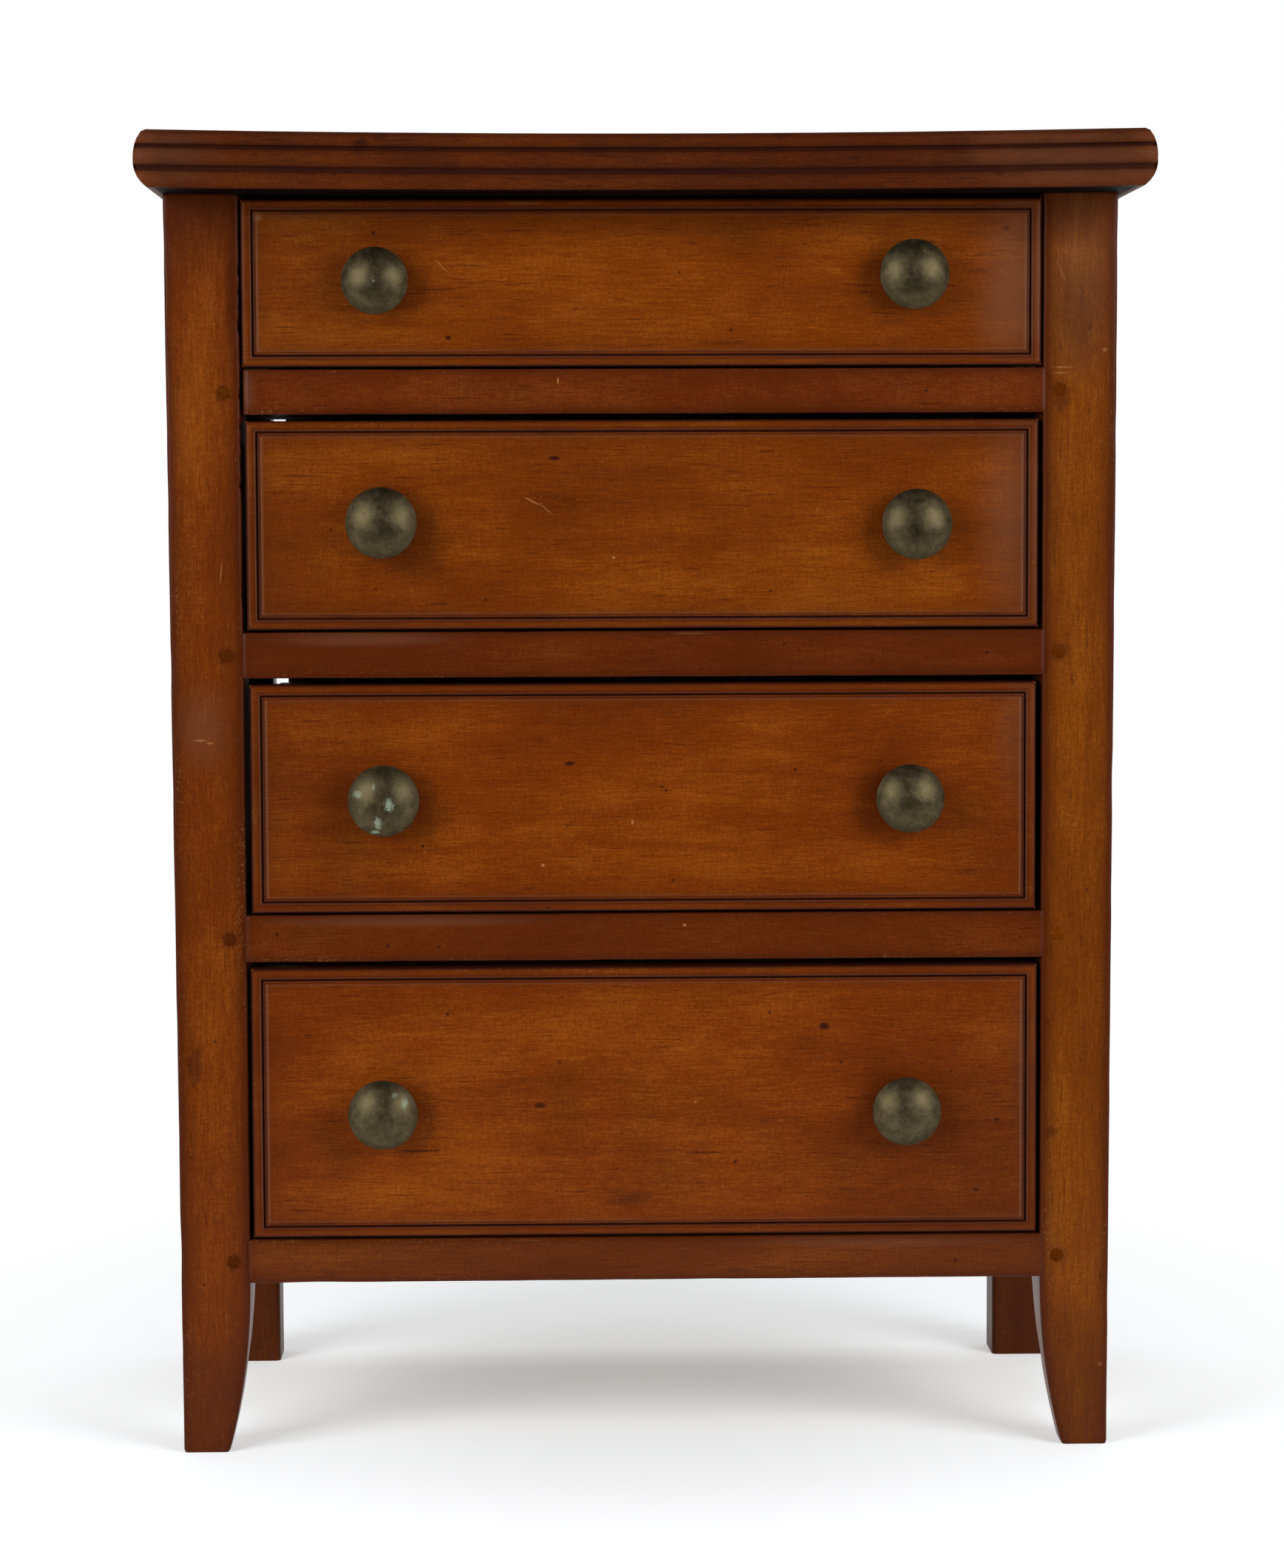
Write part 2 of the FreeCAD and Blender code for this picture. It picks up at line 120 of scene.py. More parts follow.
class Finish:
    # A material under construction.
    def __init__(self, name, tree=None):
        if tree is None:
            self.material = bpy.data.materials.new(name)
            self.material.use_nodes = True
            tree = self.material.node_tree
        self.tree = tree
        tree.nodes.clear()

    def node(self, kind, settings=None, values=None, out=0):
        made = self.tree.nodes.new(kind)
        for key, value in (settings or {}).items():
            if key == "stops":
                self.setStops(made.color_ramp, value)
            else:
                setattr(made, key, value)
        for key, value in (values or {}).items():
            if isinstance(value, Wire):
                self.tree.links.new(value.socket, made.inputs[key])
            else:
                made.inputs[key].default_value = value
        return Wire(self, made.outputs[out]) if made.outputs else None

    def setStops(self, ramp, stops):
        while len(ramp.elements) < len(stops):
            ramp.elements.new(0.5)
        for element, (at, colour) in zip(ramp.elements, stops):
            element.position = at
            element.color = colour

    def place(self, scale=(1, 1, 1), shift=(0, 0, 0)):
        # The piece's own coordinates in millimetres, then shifted and scaled.
        if not hasattr(self, "own"):
            self.own = self.node("ShaderNodeTexCoord", out="Object")
        grown = tuple(s / mm for s in scale)
        moved = tuple(-a * s for a, s in zip(shift, scale))
        return self.node("ShaderNodeMapping", {}, {"Vector": self.own, "Scale": grown, "Location": moved})

    def cloud(self, across, stretch=1.0, grain="x", seed=0.0, detail=2.0, rough=0.5, twist=0.0):
        # Noise whose blobs are about this many millimetres across, and longer along the grain.
        size = 1 / across
        scale = [size, size, size]
        scale["xyz".index(grain)] = size / stretch
        spot = self.place(scale, (seed, seed * 1.7, seed * 0.6))
        return self.node("ShaderNodeTexNoise", {}, {
            "Vector": spot, "Scale": 1.0, "Detail": detail, "Roughness": rough, "Distortion": twist})

    def between(self, value, low, high, toLow=0.0, toHigh=1.0):
        return self.node("ShaderNodeMapRange", {"interpolation_type": "SMOOTHSTEP"}, {
            "Value": value, "From Min": low, "From Max": high, "To Min": toLow, "To Max": toHigh})

    def mix(self, factor, first, second, blend="MIX"):
        return self.node("ShaderNodeMix", {"data_type": "RGBA", "blend_type": blend},
                         {0: factor, 6: first, 7: second}, out=2)

    def attribute(self, name):
        return self.node("ShaderNodeAttribute", {"attribute_name": name}, out="Fac")

    def length(self, vector):
        return self.node("ShaderNodeVectorMath", {"operation": "LENGTH"}, {0: vector}, out="Value")

    def dot(self, vector, other):
        return self.node("ShaderNodeVectorMath", {"operation": "DOT_PRODUCT"}, {0: vector, 1: other},
                         out="Value")

    def ramp(self, value, colours, stops=(0.0, 0.5, 1.0)):
        # Three screen colours, spread over a value from 0 to 1.
        spread = [(at, linear(*colour)) for at, colour in zip(stops, colours)]
        return self.node("ShaderNodeValToRGB", {"stops": spread}, {"Fac": value.clipped()})

    def bump(self, strength, deep, height):
        # Deep is the relief's depth in millimetres.
        return self.node("ShaderNodeBump", {}, {
            "Strength": strength, "Distance": deep * mm, "Height": height})

    def spots(self, marks, ragged, soft, face=None):
        # One mask for a list of marks: (x, z, half width, half height, strength).
        # Small ones get a ragged edge and wide ones a soft edge. Face is the y of the marked
        # face, and how deep the marks go behind it.
        total = None
        faceY, deep = (face[0] + frontY, 1 / face[1]) if face else (0.0, 0.0)
        for x, z, wide, high, strength in marks:
            spot = self.place((1 / wide, deep, 1 / high), (x + middleX, faceY, z))
            small = max(wide, high) < markEdge["softFrom"]
            outer, inner = markEdge["small" if small else "wide"]
            far = self.length(spot) + (ragged if small else soft)
            mask = self.between(far, outer, inner, 0.0, strength)
            total = mask if total is None else total.most(mask)
        return total

    def scratches(self, lines):
        # One mask for fine straight scratches: (x, z, x, z, half width, strength).
        total = None
        outer, inner = markEdge["scratch"]
        for fromX, fromZ, toX, toZ, wide, strength in lines:
            half = math.hypot(toX - fromX, toZ - fromZ) / 2
            stepX = (toX - fromX) / 2 / half
            stepZ = (toZ - fromZ) / 2 / half
            spot = self.place((1, 0, 1), ((fromX + toX) / 2 + middleX, 0, (fromZ + toZ) / 2))
            along = self.dot(spot, (stepX / half, 0, stepZ / half))
            across = self.dot(spot, (-stepZ / wide, 0, stepX / wide))
            mask = self.between(along * along + across * across, outer, inner, 0.0, strength)
            total = mask if total is None else total.most(mask)
        return total

    def done(self, values):
        shader = self.node("ShaderNodeBsdfPrincipled", {}, values)
        self.node("ShaderNodeOutputMaterial", {}, {"Surface": shader})
        return self.material


varnish = {
    "dark": (70, 25, 3),
    "mid": (114, 51, 3),
    "light": (150, 82, 8),
    # grime and painted shade: the colour of dark marks and of recesses
    "grimeAndShade": (44, 15, 9),
    "speck": (34, 13, 8),
    "worn": (176, 120, 70),
    # painted sheen: a pale haze of reflected light
    "bloom": (120, 80, 56),
    "paintedShadow": (12, 4, 3),
    "rough": 0.34,
    "shine": 0.1,
    "relief": (0.35, 0.18),
}
# The noise in varnished wood, as Finish.cloud takes it.
woodNoise = {
    "broad": {"across": 26, "stretch": 2.2, "seed": 0},
    "bands": {"across": 4.5, "stretch": 11, "seed": 31, "rough": 0.55, "twist": 0.5},
    "mottle": {"across": 0.55, "stretch": 1.7, "seed": 83, "rough": 0.65},
    "fibre": {"across": 0.42, "stretch": 14, "seed": 57, "rough": 0.6},
    "patch": {"across": 9, "stretch": 1.6, "seed": 11, "detail": 3, "rough": 0.6},
    "rays": {"across": 0.5, "stretch": 7, "seed": 71, "detail": 1},
    "streak": {"across": 0.62, "stretch": 15, "seed": 5},
    "ragged": {"across": 1.2, "stretch": 1.5, "seed": 3},
}
# How much each of them shifts the tone.
toneShare = {"broad": 0.7, "bands": 0.34, "mottle": 0.55, "fibre": 0.5, "patch": 0.3, "rays": 0.4}
# Marks of the finish itself: the value where they start, where they are full, and their strength.
woodMarks = {
    "streak": (0.63, 0.74, 0.6),
    "speck": (0.055, 0.02, 0.75),
    "rub": (0.65, 0.76, 0.3),
    "paintedShadow": (1.1, 1.9, 1.0),
}
speckGap = 11    # there is about one speck in a cell of this many millimetres


def woodFinish(name, grain, seed, tones=None, figure=1.0, dark=(), pale=(), bloom=(), scratched=(),
               face=(0.0, 14.0), rims=True, rough=None):
    # Varnished wood: soft figure along the grain, fine mottle, a few short dark streaks and specks.
    # Dark marks are grime, some with painted shade and shadow in them. Pale ones are bare spots, and sheen
    # marks are a painted pale sheen of reflected light.
    look = dict(varnish, **(tones or {}))
    wood = Finish(name)

    def noiseOf(kind, along=grain):
        settings = dict(woodNoise[kind])
        settings["seed"] += seed
        return wood.cloud(grain=along, **settings)

    def grown(value, kind):
        start, full, strength = woodMarks[kind]
        return wood.between(value, start, full, 0.0, strength)

    def stained(factor, under, kind):
        return wood.mix(factor, under, linear(*look[kind]))

    broad = noiseOf("broad")
    bands = noiseOf("bands")
    mottle = noiseOf("mottle")
    fibre = noiseOf("fibre")
    patch = noiseOf("patch")
    rays = noiseOf("rays", "x" if grain == "z" else "z")
    share = toneShare
    tone = (0.5 + (broad - 0.5) * (share["broad"] * figure) + (bands - 0.5) * (share["bands"] * figure)
            + (mottle - 0.5) * share["mottle"] + (fibre - 0.5) * share["fibre"]
            + (patch - 0.5) * share["patch"] + (rays - 0.5) * (patch * share["rays"]))
    colour = wood.ramp(tone, (look["dark"], look["mid"], look["light"]))
    # short dark streaks, only where the patches allow
    colour = stained(grown(noiseOf("streak") + (patch - 0.5) * 0.3, "streak"), colour, "dark")
    # scattered specks
    cells = wood.place((1 / speckGap,) * 3, (seed, seed * 0.3, seed * 1.9))
    far = wood.node("ShaderNodeTexVoronoi", {}, {"Vector": cells, "Scale": 1.0}, out="Distance")
    colour = stained(grown(far + (mottle - 0.5) * 0.06, "speck"), colour, "speck")
    # marks at places of their own
    soft = (patch - 0.5) * 0.7
    ragged = (noiseOf("ragged") - 0.5) * 1.1 if dark or pale else soft
    for marks, wobble, kind in ((bloom, soft, "bloom"), (dark, ragged, "grimeAndShade"), (pale, ragged, "worn")):
        if marks:
            colour = stained(wood.spots(marks, wobble, soft, face), colour, kind)
    if scratched:
        colour = stained(wood.scratches(scratched), colour, "worn")
    dull = (patch - 0.5) * 0.18 + (mottle - 0.5) * 0.12 + (look["rough"] if rough is None else rough)
    if rims:
        # recess: 1 in quirks and grooves, grime and painted shade there; 2 where no light or cloth reaches, a
        # painted shadow; arris: 1 on rubbed edges;
        # the edge layer: 1 beside a piece's edge, painted shade with some grime; the sheen layer: 1 in
        # painted highlight bands beside the fronts' quirks
        recess = wood.attribute("recess")
        arris = wood.attribute("arris")
        rim = wood.attribute("rim")
        # painted shade beside a piece's edges, with some grime there
        colour = stained((rim * (patch * 1.1 + 0.1)).clipped(), colour, "dark")
        grimeAndShade = (recess * (0.72 + patch * 0.4)).clipped()
        colour = stained(grimeAndShade, colour, "grimeAndShade")
        # painted highlight bands beside the fronts' quirks, in the sheen colour
        colour = stained(wood.attribute("haze"), colour, "bloom")
        # arrises are darker, and here and there rubbed through
        colour = stained((arris * (1.1 - patch)).clipped(), colour, "dark")
        colour = stained(grown(bands * 0.5 + mottle * 0.6, "rub") * arris, colour, "worn")
        # painted shadow: the top board's underside in front of the case is coloured near black
        colour = stained(grown(recess, "paintedShadow"), colour, "paintedShadow")
        dull = dull + grimeAndShade * 0.25
    return wood.done({
        "Base Color": colour, "Roughness": dull.clipped(), "Specular IOR Level": look["shine"],
        "Normal": wood.bump(*look["relief"], mottle * 0.6 + bands * 0.4)})


knobBrass = {
    "tones": ((56, 48, 31), (88, 78, 55), (122, 110, 84)),
    # the colour of the painted shade on the knobs
    "knobShade": (34, 28, 17),
    "pit": (30, 24, 14),
    "green": (142, 158, 134),
    "metal": 0.95,
    "rough": 0.5,
    "relief": (0.35, 0.15),
}


def brassFinish(name, seed, spots, knobShade):
    # Antique brass, tarnished brown-olive and rubbed a little paler, with painted shade where the dome
    # reflects the dark room. Spots are verdigris, and one is a painted glint.
    look = knobBrass
    brass = Finish(name)
    blotch = brass.cloud(2.2, 1, "x", seed, 3, 0.6)
    grit = brass.cloud(0.4, 1, "x", seed + 9, 2, 0.7)
    colour = brass.ramp(0.5 + (blotch - 0.5) * 1.0 + (grit - 0.5) * 0.8, look["tones"])
    wander = (blotch - 0.5) * 0.8
    colour = brass.mix(brass.spots(knobShade, wander, wander), colour, linear(*look["knobShade"]))
    pits = brass.between(brass.cloud(0.8, 1, "x", seed + 40, 1), 0.7, 0.8, 0.0, 0.6)
    colour = brass.mix(pits, colour, linear(*look["pit"]))
    metal = look["metal"] - pits * 0.5
    if spots:
        wobble = (brass.cloud(0.42, 1, "x", seed + 4, 3) - 0.5) * 2.6
        green = brass.spots(spots, wobble, wobble)
        colour = brass.mix(green, colour, linear(*look["green"]))
        metal = metal - green * 0.8
    rough = look["rough"] + (blotch - 0.5) * 0.25 + (grit - 0.5) * 0.2 + pits * 0.15
    return brass.done({
        "Base Color": colour, "Metallic": metal.clipped(), "Roughness": rough.clipped(),
        "Normal": brass.bump(*look["relief"], grit * 0.5 + blotch * 0.5)})


ironTones = ((46, 42, 40), (74, 58, 48), (104, 66, 42))


def ironFinish(name):
    # Dull iron with rust in patches.
    iron = Finish(name)
    rust = iron.cloud(1.1, 1, "x", 3, 4, 0.7)
    grit = iron.cloud(0.35, 1, "x", 8, 2, 0.7)
    return iron.done({
        "Base Color": iron.ramp(rust + (grit - 0.5) * 0.4, ironTones, (0.35, 0.55, 0.75)),
        "Metallic": iron.between(rust, 0.42, 0.62, 0.85, 0.15),
        "Roughness": (0.5 + grit * 0.3).clipped(),
        "Normal": iron.bump(0.6, 0.2, rust + grit * 0.5)})


bareTones = {
    "hidden": ((104, 74, 42), (158, 121, 76), (190, 157, 110)),
    "leftBackBoard": ((92, 64, 38), (138, 103, 66), (170, 136, 94)),
    "rightBackBoard": ((84, 56, 33), (128, 92, 58), (160, 124, 84)),
    "drawerSide": ((118, 86, 50), (172, 137, 92), (200, 170, 124)),
    "drawerBack": ((118, 86, 50), (170, 134, 90), (198, 168, 122)),
    "drawerBottom": ((126, 94, 56), (180, 146, 100), (206, 178, 132)),
    "dust": (92, 64, 38),
}


def bareFinish(name, grain, seed, tones):
    # Unpolished secondary wood: planed, dusty, with plane tracks and softer growth rings.
    bare = Finish(name)
    rings = bare.cloud(4.2, 22, grain, seed, 3, 0.5, 0.8)
    fine = bare.cloud(0.8, 24, grain, seed + 13, 3, 0.6)
    dust = bare.cloud(16, 1.5, grain, seed + 29, 4, 0.6)
    speck = bare.cloud(0.4, 5, grain, seed + 37, 2)
    tone = 0.5 + (rings - 0.5) * 1.6 + (fine - 0.5) * 0.9 + (speck - 0.5) * 0.5 + (dust - 0.5) * 0.8
    dusty = bare.between(dust, 0.5, 0.75, 0.0, 0.4)
    return bare.done({
        "Base Color": bare.mix(dusty, bare.ramp(tone, bareTones[tones]), linear(*bareTones["dust"])),
        "Roughness": (0.72 + (fine - 0.5) * 0.3).clipped(),
        "Normal": bare.bump(0.5, 0.2, rings * 0.6 + fine * 0.4 + speck * 0.3)})


# Mesh tools

def wave(x, y=0.0, z=0.0):
    # Smooth noise from -1 to 1.
    return noise.noise(Vector((x, y, z)))


def spaced(low, high, gap):
    count = max(1, round((high - low) / gap))
    return [low + (high - low) * i / count for i in range(count + 1)]


def makePiece(name, points, faces, finish, body, layers, stands=()):
    # Points are in millimetres, from the middle of the front posts' faces. Layers are the values
    # of each point that the finish reads. Stands names the solids that the piece stands for.
    mesh = bpy.data.meshes.new(name)
    mesh.from_pydata([((x + middleX) * mm, (y + frontY) * mm, z * mm) for x, y, z in points], [], faces)
    for label, values in layers.items():
        mesh.attributes.new(label, "FLOAT", "POINT").data.foreach_set("value", values)
    work = bmesh.new()
    work.from_mesh(mesh)
    bmesh.ops.remove_doubles(work, verts=work.verts, dist=1e-7)
    bmesh.ops.recalc_face_normals(work, faces=work.faces)
    work.to_mesh(mesh)
    work.free()
    for face in mesh.polygons:
        face.use_smooth = True
    mesh.materials.append(finish)
    piece = bpy.data.objects.new(name, mesh)
    bpy.context.scene.collection.objects.link(piece)
    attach(piece, body)
    if stands:
        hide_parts(*stands)


def loft(rings):
    # A closed skin through rings that all have the same number of points.
    count = len(rings[0])
    points = [point for ring in rings for point in ring]
    faces = []
    for r in range(len(rings) - 1):
        for i in range(count):
            j = (i + 1) % count
            faces.append((r * count + i, r * count + j, (r + 1) * count + j, (r + 1) * count + i))
    faces.append(tuple(reversed(range(count))))
    faces.append(tuple(range(len(points) - count, len(points))))
    return points, faces


cornerSteps = 4


def roundedSection(a0, a1, b0, b1, radii, spans):
    # A rectangle with rounded corners as (a, b, outward a, outward b, distance to a corner).
    # Radii and spans start at (a0, b0) and go round through (a1, b0), (a1, b1) and (a0, b1).
    corners = [(a0, b0, 180), (a1, b0, 270), (a1, b1, 0), (a0, b1, 90)]
    section = []
    for index, (a, b, start) in enumerate(corners):
        radius = radii[index]
        centreA = a + radius if a == a0 else a - radius
        centreB = b + radius if b == b0 else b - radius
        for step in range(cornerSteps + 1):
            turn = math.radians(start + step * 90 / cornerSteps)
            outA, outB = math.cos(turn), math.sin(turn)
            section.append((centreA + radius * outA, centreB + radius * outB, outA, outB, 0.0))
        nextA, nextB, nextStart = corners[(index + 1) % 4]
        endTurn = math.radians(nextStart)
        following = radii[(index + 1) % 4]
        endA = (nextA + following if nextA == a0 else nextA - following) + following * math.cos(endTurn)
        endB = (nextB + following if nextB == b0 else nextB - following) + following * math.sin(endTurn)
        hereA, hereB, outA, outB, _ = section[-1]
        length = math.hypot(endA - hereA, endB - hereB)
        for step in range(1, spans[index]):
            s = step / spans[index]
            reach = min(s, 1 - s) * length
            section.append((hereA + (endA - hereA) * s, hereB + (endB - hereB) * s, outA, outB, reach))
    return section


# Top board

topBoard = {
    "reeds": (3.4, 3.9, 4.1),
    "reedPoints": 10,
    "grooves": (1.2, 1.7),
    "groovePoints": (0.1, 0.3, 0.5, 0.7, 0.9),
    "grooveDepth": 0.75,
    "bow": 0.6,           # the reeds are this round
    "roll": 0.6,          # and the first one leans back by this at its top
    "front": 20.5,
    "back": 121.5,
    "halfLength": 126.7,
    "shift": 0.85,        # the board lies this far to the right
    "sag": 1.3,
    "underSag": 0.8,
    "crest": 7.1,         # the ends stand out most this far above their underside
    "upperRadius": 11.0,
    "lowerRadius": 8.8,
    "cornerRadius": 2.4,
    "endZone": 7,         # wear, dirt and painted shade differ this near to the ends
    "wear": 0.1,          # the front edge is worn back by this
    "wander": 0.16,       # and wanders by this, slowly
    "ripple": 0.07,       # and by this, quickly
    "chips": 0.385,
    "dish": 0.1,
    "tones": {"mid": (100, 43, 6), "light": (134, 70, 18), "dark": (44, 14, 5), "shine": 0.06},
    "dark": [(-70, 331, 2.6, 2.4, 0.75), (-65, 333.5, 2.2, 1.2, 0.5), (-56, 329, 9, 5, 0.35),
             (-48, 326, 3, 2, 0.4), (-31, 330, 1.6, 0.6, 0.5), (52, 328, 1.4, 0.6, 0.5),
             (88, 324.5, 1.2, 1.0, 0.5), (-96, 329, 1.5, 0.7, 0.4)],
    # painted sheen towards the ends
    "bloom": [(-118, 329, 14, 9, 0.4), (106, 329, 36, 9, 0.45)],
}
boardThick = sum(topBoard["reeds"]) + sum(topBoard["grooves"])


def boardUpper(x):
    look = topBoard
    past = abs(x) - (look["halfLength"] - look["upperRadius"])
    z = case["top"] + look["crest"] + math.sqrt(max(look["upperRadius"] ** 2 - max(past, 0) ** 2, 0.0))
    return min(z, case["top"] + boardThick)


def boardLower(x):
    look = topBoard
    past = abs(x) - (look["halfLength"] - look["lowerRadius"])
    if past > 0:
        z = case["top"] + look["crest"] - math.sqrt(max(look["lowerRadius"] ** 2 - past ** 2, 0.0))
        return max(z, case["top"])
    return case["top"] - look["underSag"] * (1 - (x / look["halfLength"]) ** 2)


def boardFrontLine():
    # Down the reeded edge: (y, depth below the upper face, recess). The recess is painted shade in and beside
    # the grooves, and also darkens the first reed's top.
    look = topBoard
    edge = look["bow"] - look["front"]
    line = []
    depth = 0.0
    for index, high in enumerate(look["reeds"]):
        start = edge + (look["roll"] if index == 0 else 0.0)
        for step in range(look["reedPoints"]):
            s = (1 - math.cos(math.pi * step / (look["reedPoints"] - 1))) / 2
            y = start + (edge - start) * s - look["bow"] * (1 - (2 * s - 1) ** 2)
            nearGroove = abs(2 * s - 1)
            grimeAndShade = 0.5 if index == 0 and s < 0.3 else 0.4 * nearGroove ** 3
            line.append((y, depth + high * s, grimeAndShade))
        depth += high
        if index < len(look["grooves"]):
            wide = look["grooves"][index]
            for s in look["groovePoints"]:
                hollow = math.sin(math.pi * s) ** 0.7
                line.append((edge + look["grooveDepth"] * hollow, depth + wide * s, 0.5 + 0.5 * hollow))
            depth += wide
    return line


def boardStations():
    # Along the board, closer together at its rounded ends.
    end = topBoard["halfLength"] - 0.02
    count, share = 12, 0.13
    left = [-end + end * (1 - math.cos(math.pi / 2 * i / count)) * share for i in range(count)]
    return left + spaced(-end * (1 - share), end * (1 - share), 1.3) + [-x for x in reversed(left)]


def makeTopBoard():
    look = topBoard
    front, back = -look["front"], look["back"]
    frontLine = boardFrontLine()
    under = spaced(front + 3, back - 1.5, 14)
    over = list(reversed(spaced(front + 3.2, back - 1.2, 7)))
    rings, recess, arris, rim = [], [], [], []
    for x in boardStations():
        sag = look["sag"] * (1 - (x / look["halfLength"]) ** 2)
        top = case["top"] + boardThick - sag
        upper = min(boardUpper(x), top)
        lower = boardLower(x)
        middle = (upper + lower) / 2
        inset = look["halfLength"] - abs(x)
        radius = look["cornerRadius"]
        corner = 0.0
        if inset < radius:
            corner = radius - math.sqrt(max(radius ** 2 - (radius - inset) ** 2, 0.0))
        atEnd = max(0.0, 1 - inset / look["endZone"])
        ring = []

        def add(y, z, inRecess=0.0, onArris=0.0):
            ring.append((x + look["shift"], y, z))
            recess.append(inRecess)
            arris.append(min(1.0, onArris + 0.3 * atEnd))
            # painted shade: the reeded front is darker than the upper face, less so at the ends
            rim.append(0.75 * (1 - atEnd) if y < front + 2.5 else 0.1)

        for y, depth, inRecess in frontLine:
            z = top - depth
            y += look["wear"] + look["wander"] * wave(x / 17, depth / 2.5, 3.1)
            y += look["ripple"] * wave(x / 4, depth / 1.5, 1.3)
            y += look["chips"] * max(0.0, wave(x / 5.5, depth / 4.0, 7.7) - 0.38)
            y = max(y, front) + corner
            if depth < 1.2:
                y += 0.25 * max(0.0, wave(x / 9, 0.3, 5.5))
            clipped = z > upper or z < lower
            add(y, min(max(z, lower), upper), 0.0 if clipped else inRecess)
        # painted shadow: the underside over the case gets the near-black colour, beyond the ends only a
        # little
        hidden = 2.0 if abs(x) < case["halfWidth"] else 0.2
        for y in under:
            add(y, lower + 0.05 * wave(x / 30, y / 30, 2.0), hidden)
        add(back - 0.4 - corner, lower + 0.1, 0.0, 0.5)
        add(back - corner, min(lower + 0.6, middle), 0.0, 0.6)
        add(back - corner, max(upper - 0.6, middle), 0.0, 0.6)
        add(back - 0.5 - corner, upper - 0.1, 0.0, 0.8)
        for y in over:
            dish = look["dish"] * (wave(x / 45, y / 30, 9.0) - 1)
            add(y, upper + dish * min(1.0, inset / 6))
        add(front + 1.6 + corner, upper - 0.06 - 0.12 * max(0.0, wave(x / 7, 2.2, 0.4)), 0.0, 0.6)
        rings.append(ring)
    points, faces = loft(rings)
    finish = woodFinish("reededTop", "x", 210, look["tones"], dark=look["dark"], bloom=look["bloom"],
                        face=(front, 5.0), rough=0.46)
    makePiece("top_board_reeded", points, faces, finish, "case",
              {"recess": recess, "arris": arris, "rim": rim}, ["top_board"])


# Front posts

posts = {
    "round": 0.9,
    "toe": 0.8,           # the soles' edges are drawn in below this height
    "toeSlope": 0.35,
    "wear": 0.25,
    "ragged": 0.9,        # how far the left post's inner arris is bitten beside the upper drawers
    "raggedFrom": 214.0,
    # The wide dark marks at the tops are grime and painted shade under the top board; those at the feet make
    # them darker towards the floor. Sheen marks are painted sheen.
    "left": {
        "seed": 12, "tones": {"mid": (105, 45, 4), "light": (146, 76, 14)},
        "pegMark": (2.3, 0.55), "pegRows": ("bottom", "third", "second", "first"),
        "dark": [(-114.9, 100.6, 2.2, 5.5, 0.5), (-108.2, 15, 3.2, 6, 0.35), (-103.5, 300, 1.6, 16, 0.5),
                 (-111, 322, 16, 22, 0.5), (-112, 6, 20, 30, 0.3)],
        "pale": [(-112.8, 183.6, 1.8, 0.35, 0.4), (-110.2, 182.9, 0.9, 0.3, 0.4), (-103, 12, 1.2, 4, 0.25)],
        "bloom": [(-112, 187, 8, 12, 0.25)],
        "scratched": [(-107.2, 223, -106.6, 229, 0.2, 0.35)]},
    "right": {
        "seed": 77, "tones": {"mid": (115, 56, 5), "light": (156, 90, 16)},
        "pegMark": (2.6, 0.35), "pegRows": ("bottom", "second", "first"),
        "dark": [(113.3, 287.2, 0.9, 0.9, 0.6), (109.9, 286, 2.8, 3.2, 0.4), (106.7, 293, 3, 5, 0.3),
                 (106, 269, 2.4, 3.2, 0.4), (104.2, 81.7, 1.8, 1.6, 0.5), (111, 319, 16, 12, 0.5),
                 (112, 6, 20, 30, 0.35), (119.5, 240, 2, 90, 0.35), (110, 292, 10, 15, 0.42)],
        "pale": [(117.3, 281.6, 0.7, 0.6, 0.6), (106.4, 277.2, 2.8, 0.3, 0.45),
                 (105.6, 275.8, 2.0, 0.25, 0.4), (117.4, 21, 0.7, 0.6, 0.5)],
        "bloom": [(112, 302, 12, 26, 0.3)],
        "scratched": [(104.5, 305, 107.5, 298, 0.2, 0.25)]},
}
pegRows = {"bottom": 49.6, "third": 132.8, "second": 205.05, "first": 271.5}
pegX = openHalf + 4.3


def postInner(z):
    foot = case["footHeight"]
    if z >= foot:
        return openHalf
    step = case["halfWidth"] - case["postTaper"] - case["footWidth"] - openHalf
    radius = (foot ** 2 + step ** 2) / (2 * step)
    return openHalf + radius - math.sqrt(radius ** 2 - (foot - z) ** 2)


def postBack(z):
    foot = case["footHeight"]
    if z >= foot:
        return case["postDepth"]
    s = z / foot
    straight = case["footDepth"] + (case["postDepth"] - case["footDepth"]) * s
    return straight - case["footHollow"] * 4 * s * (1 - s)


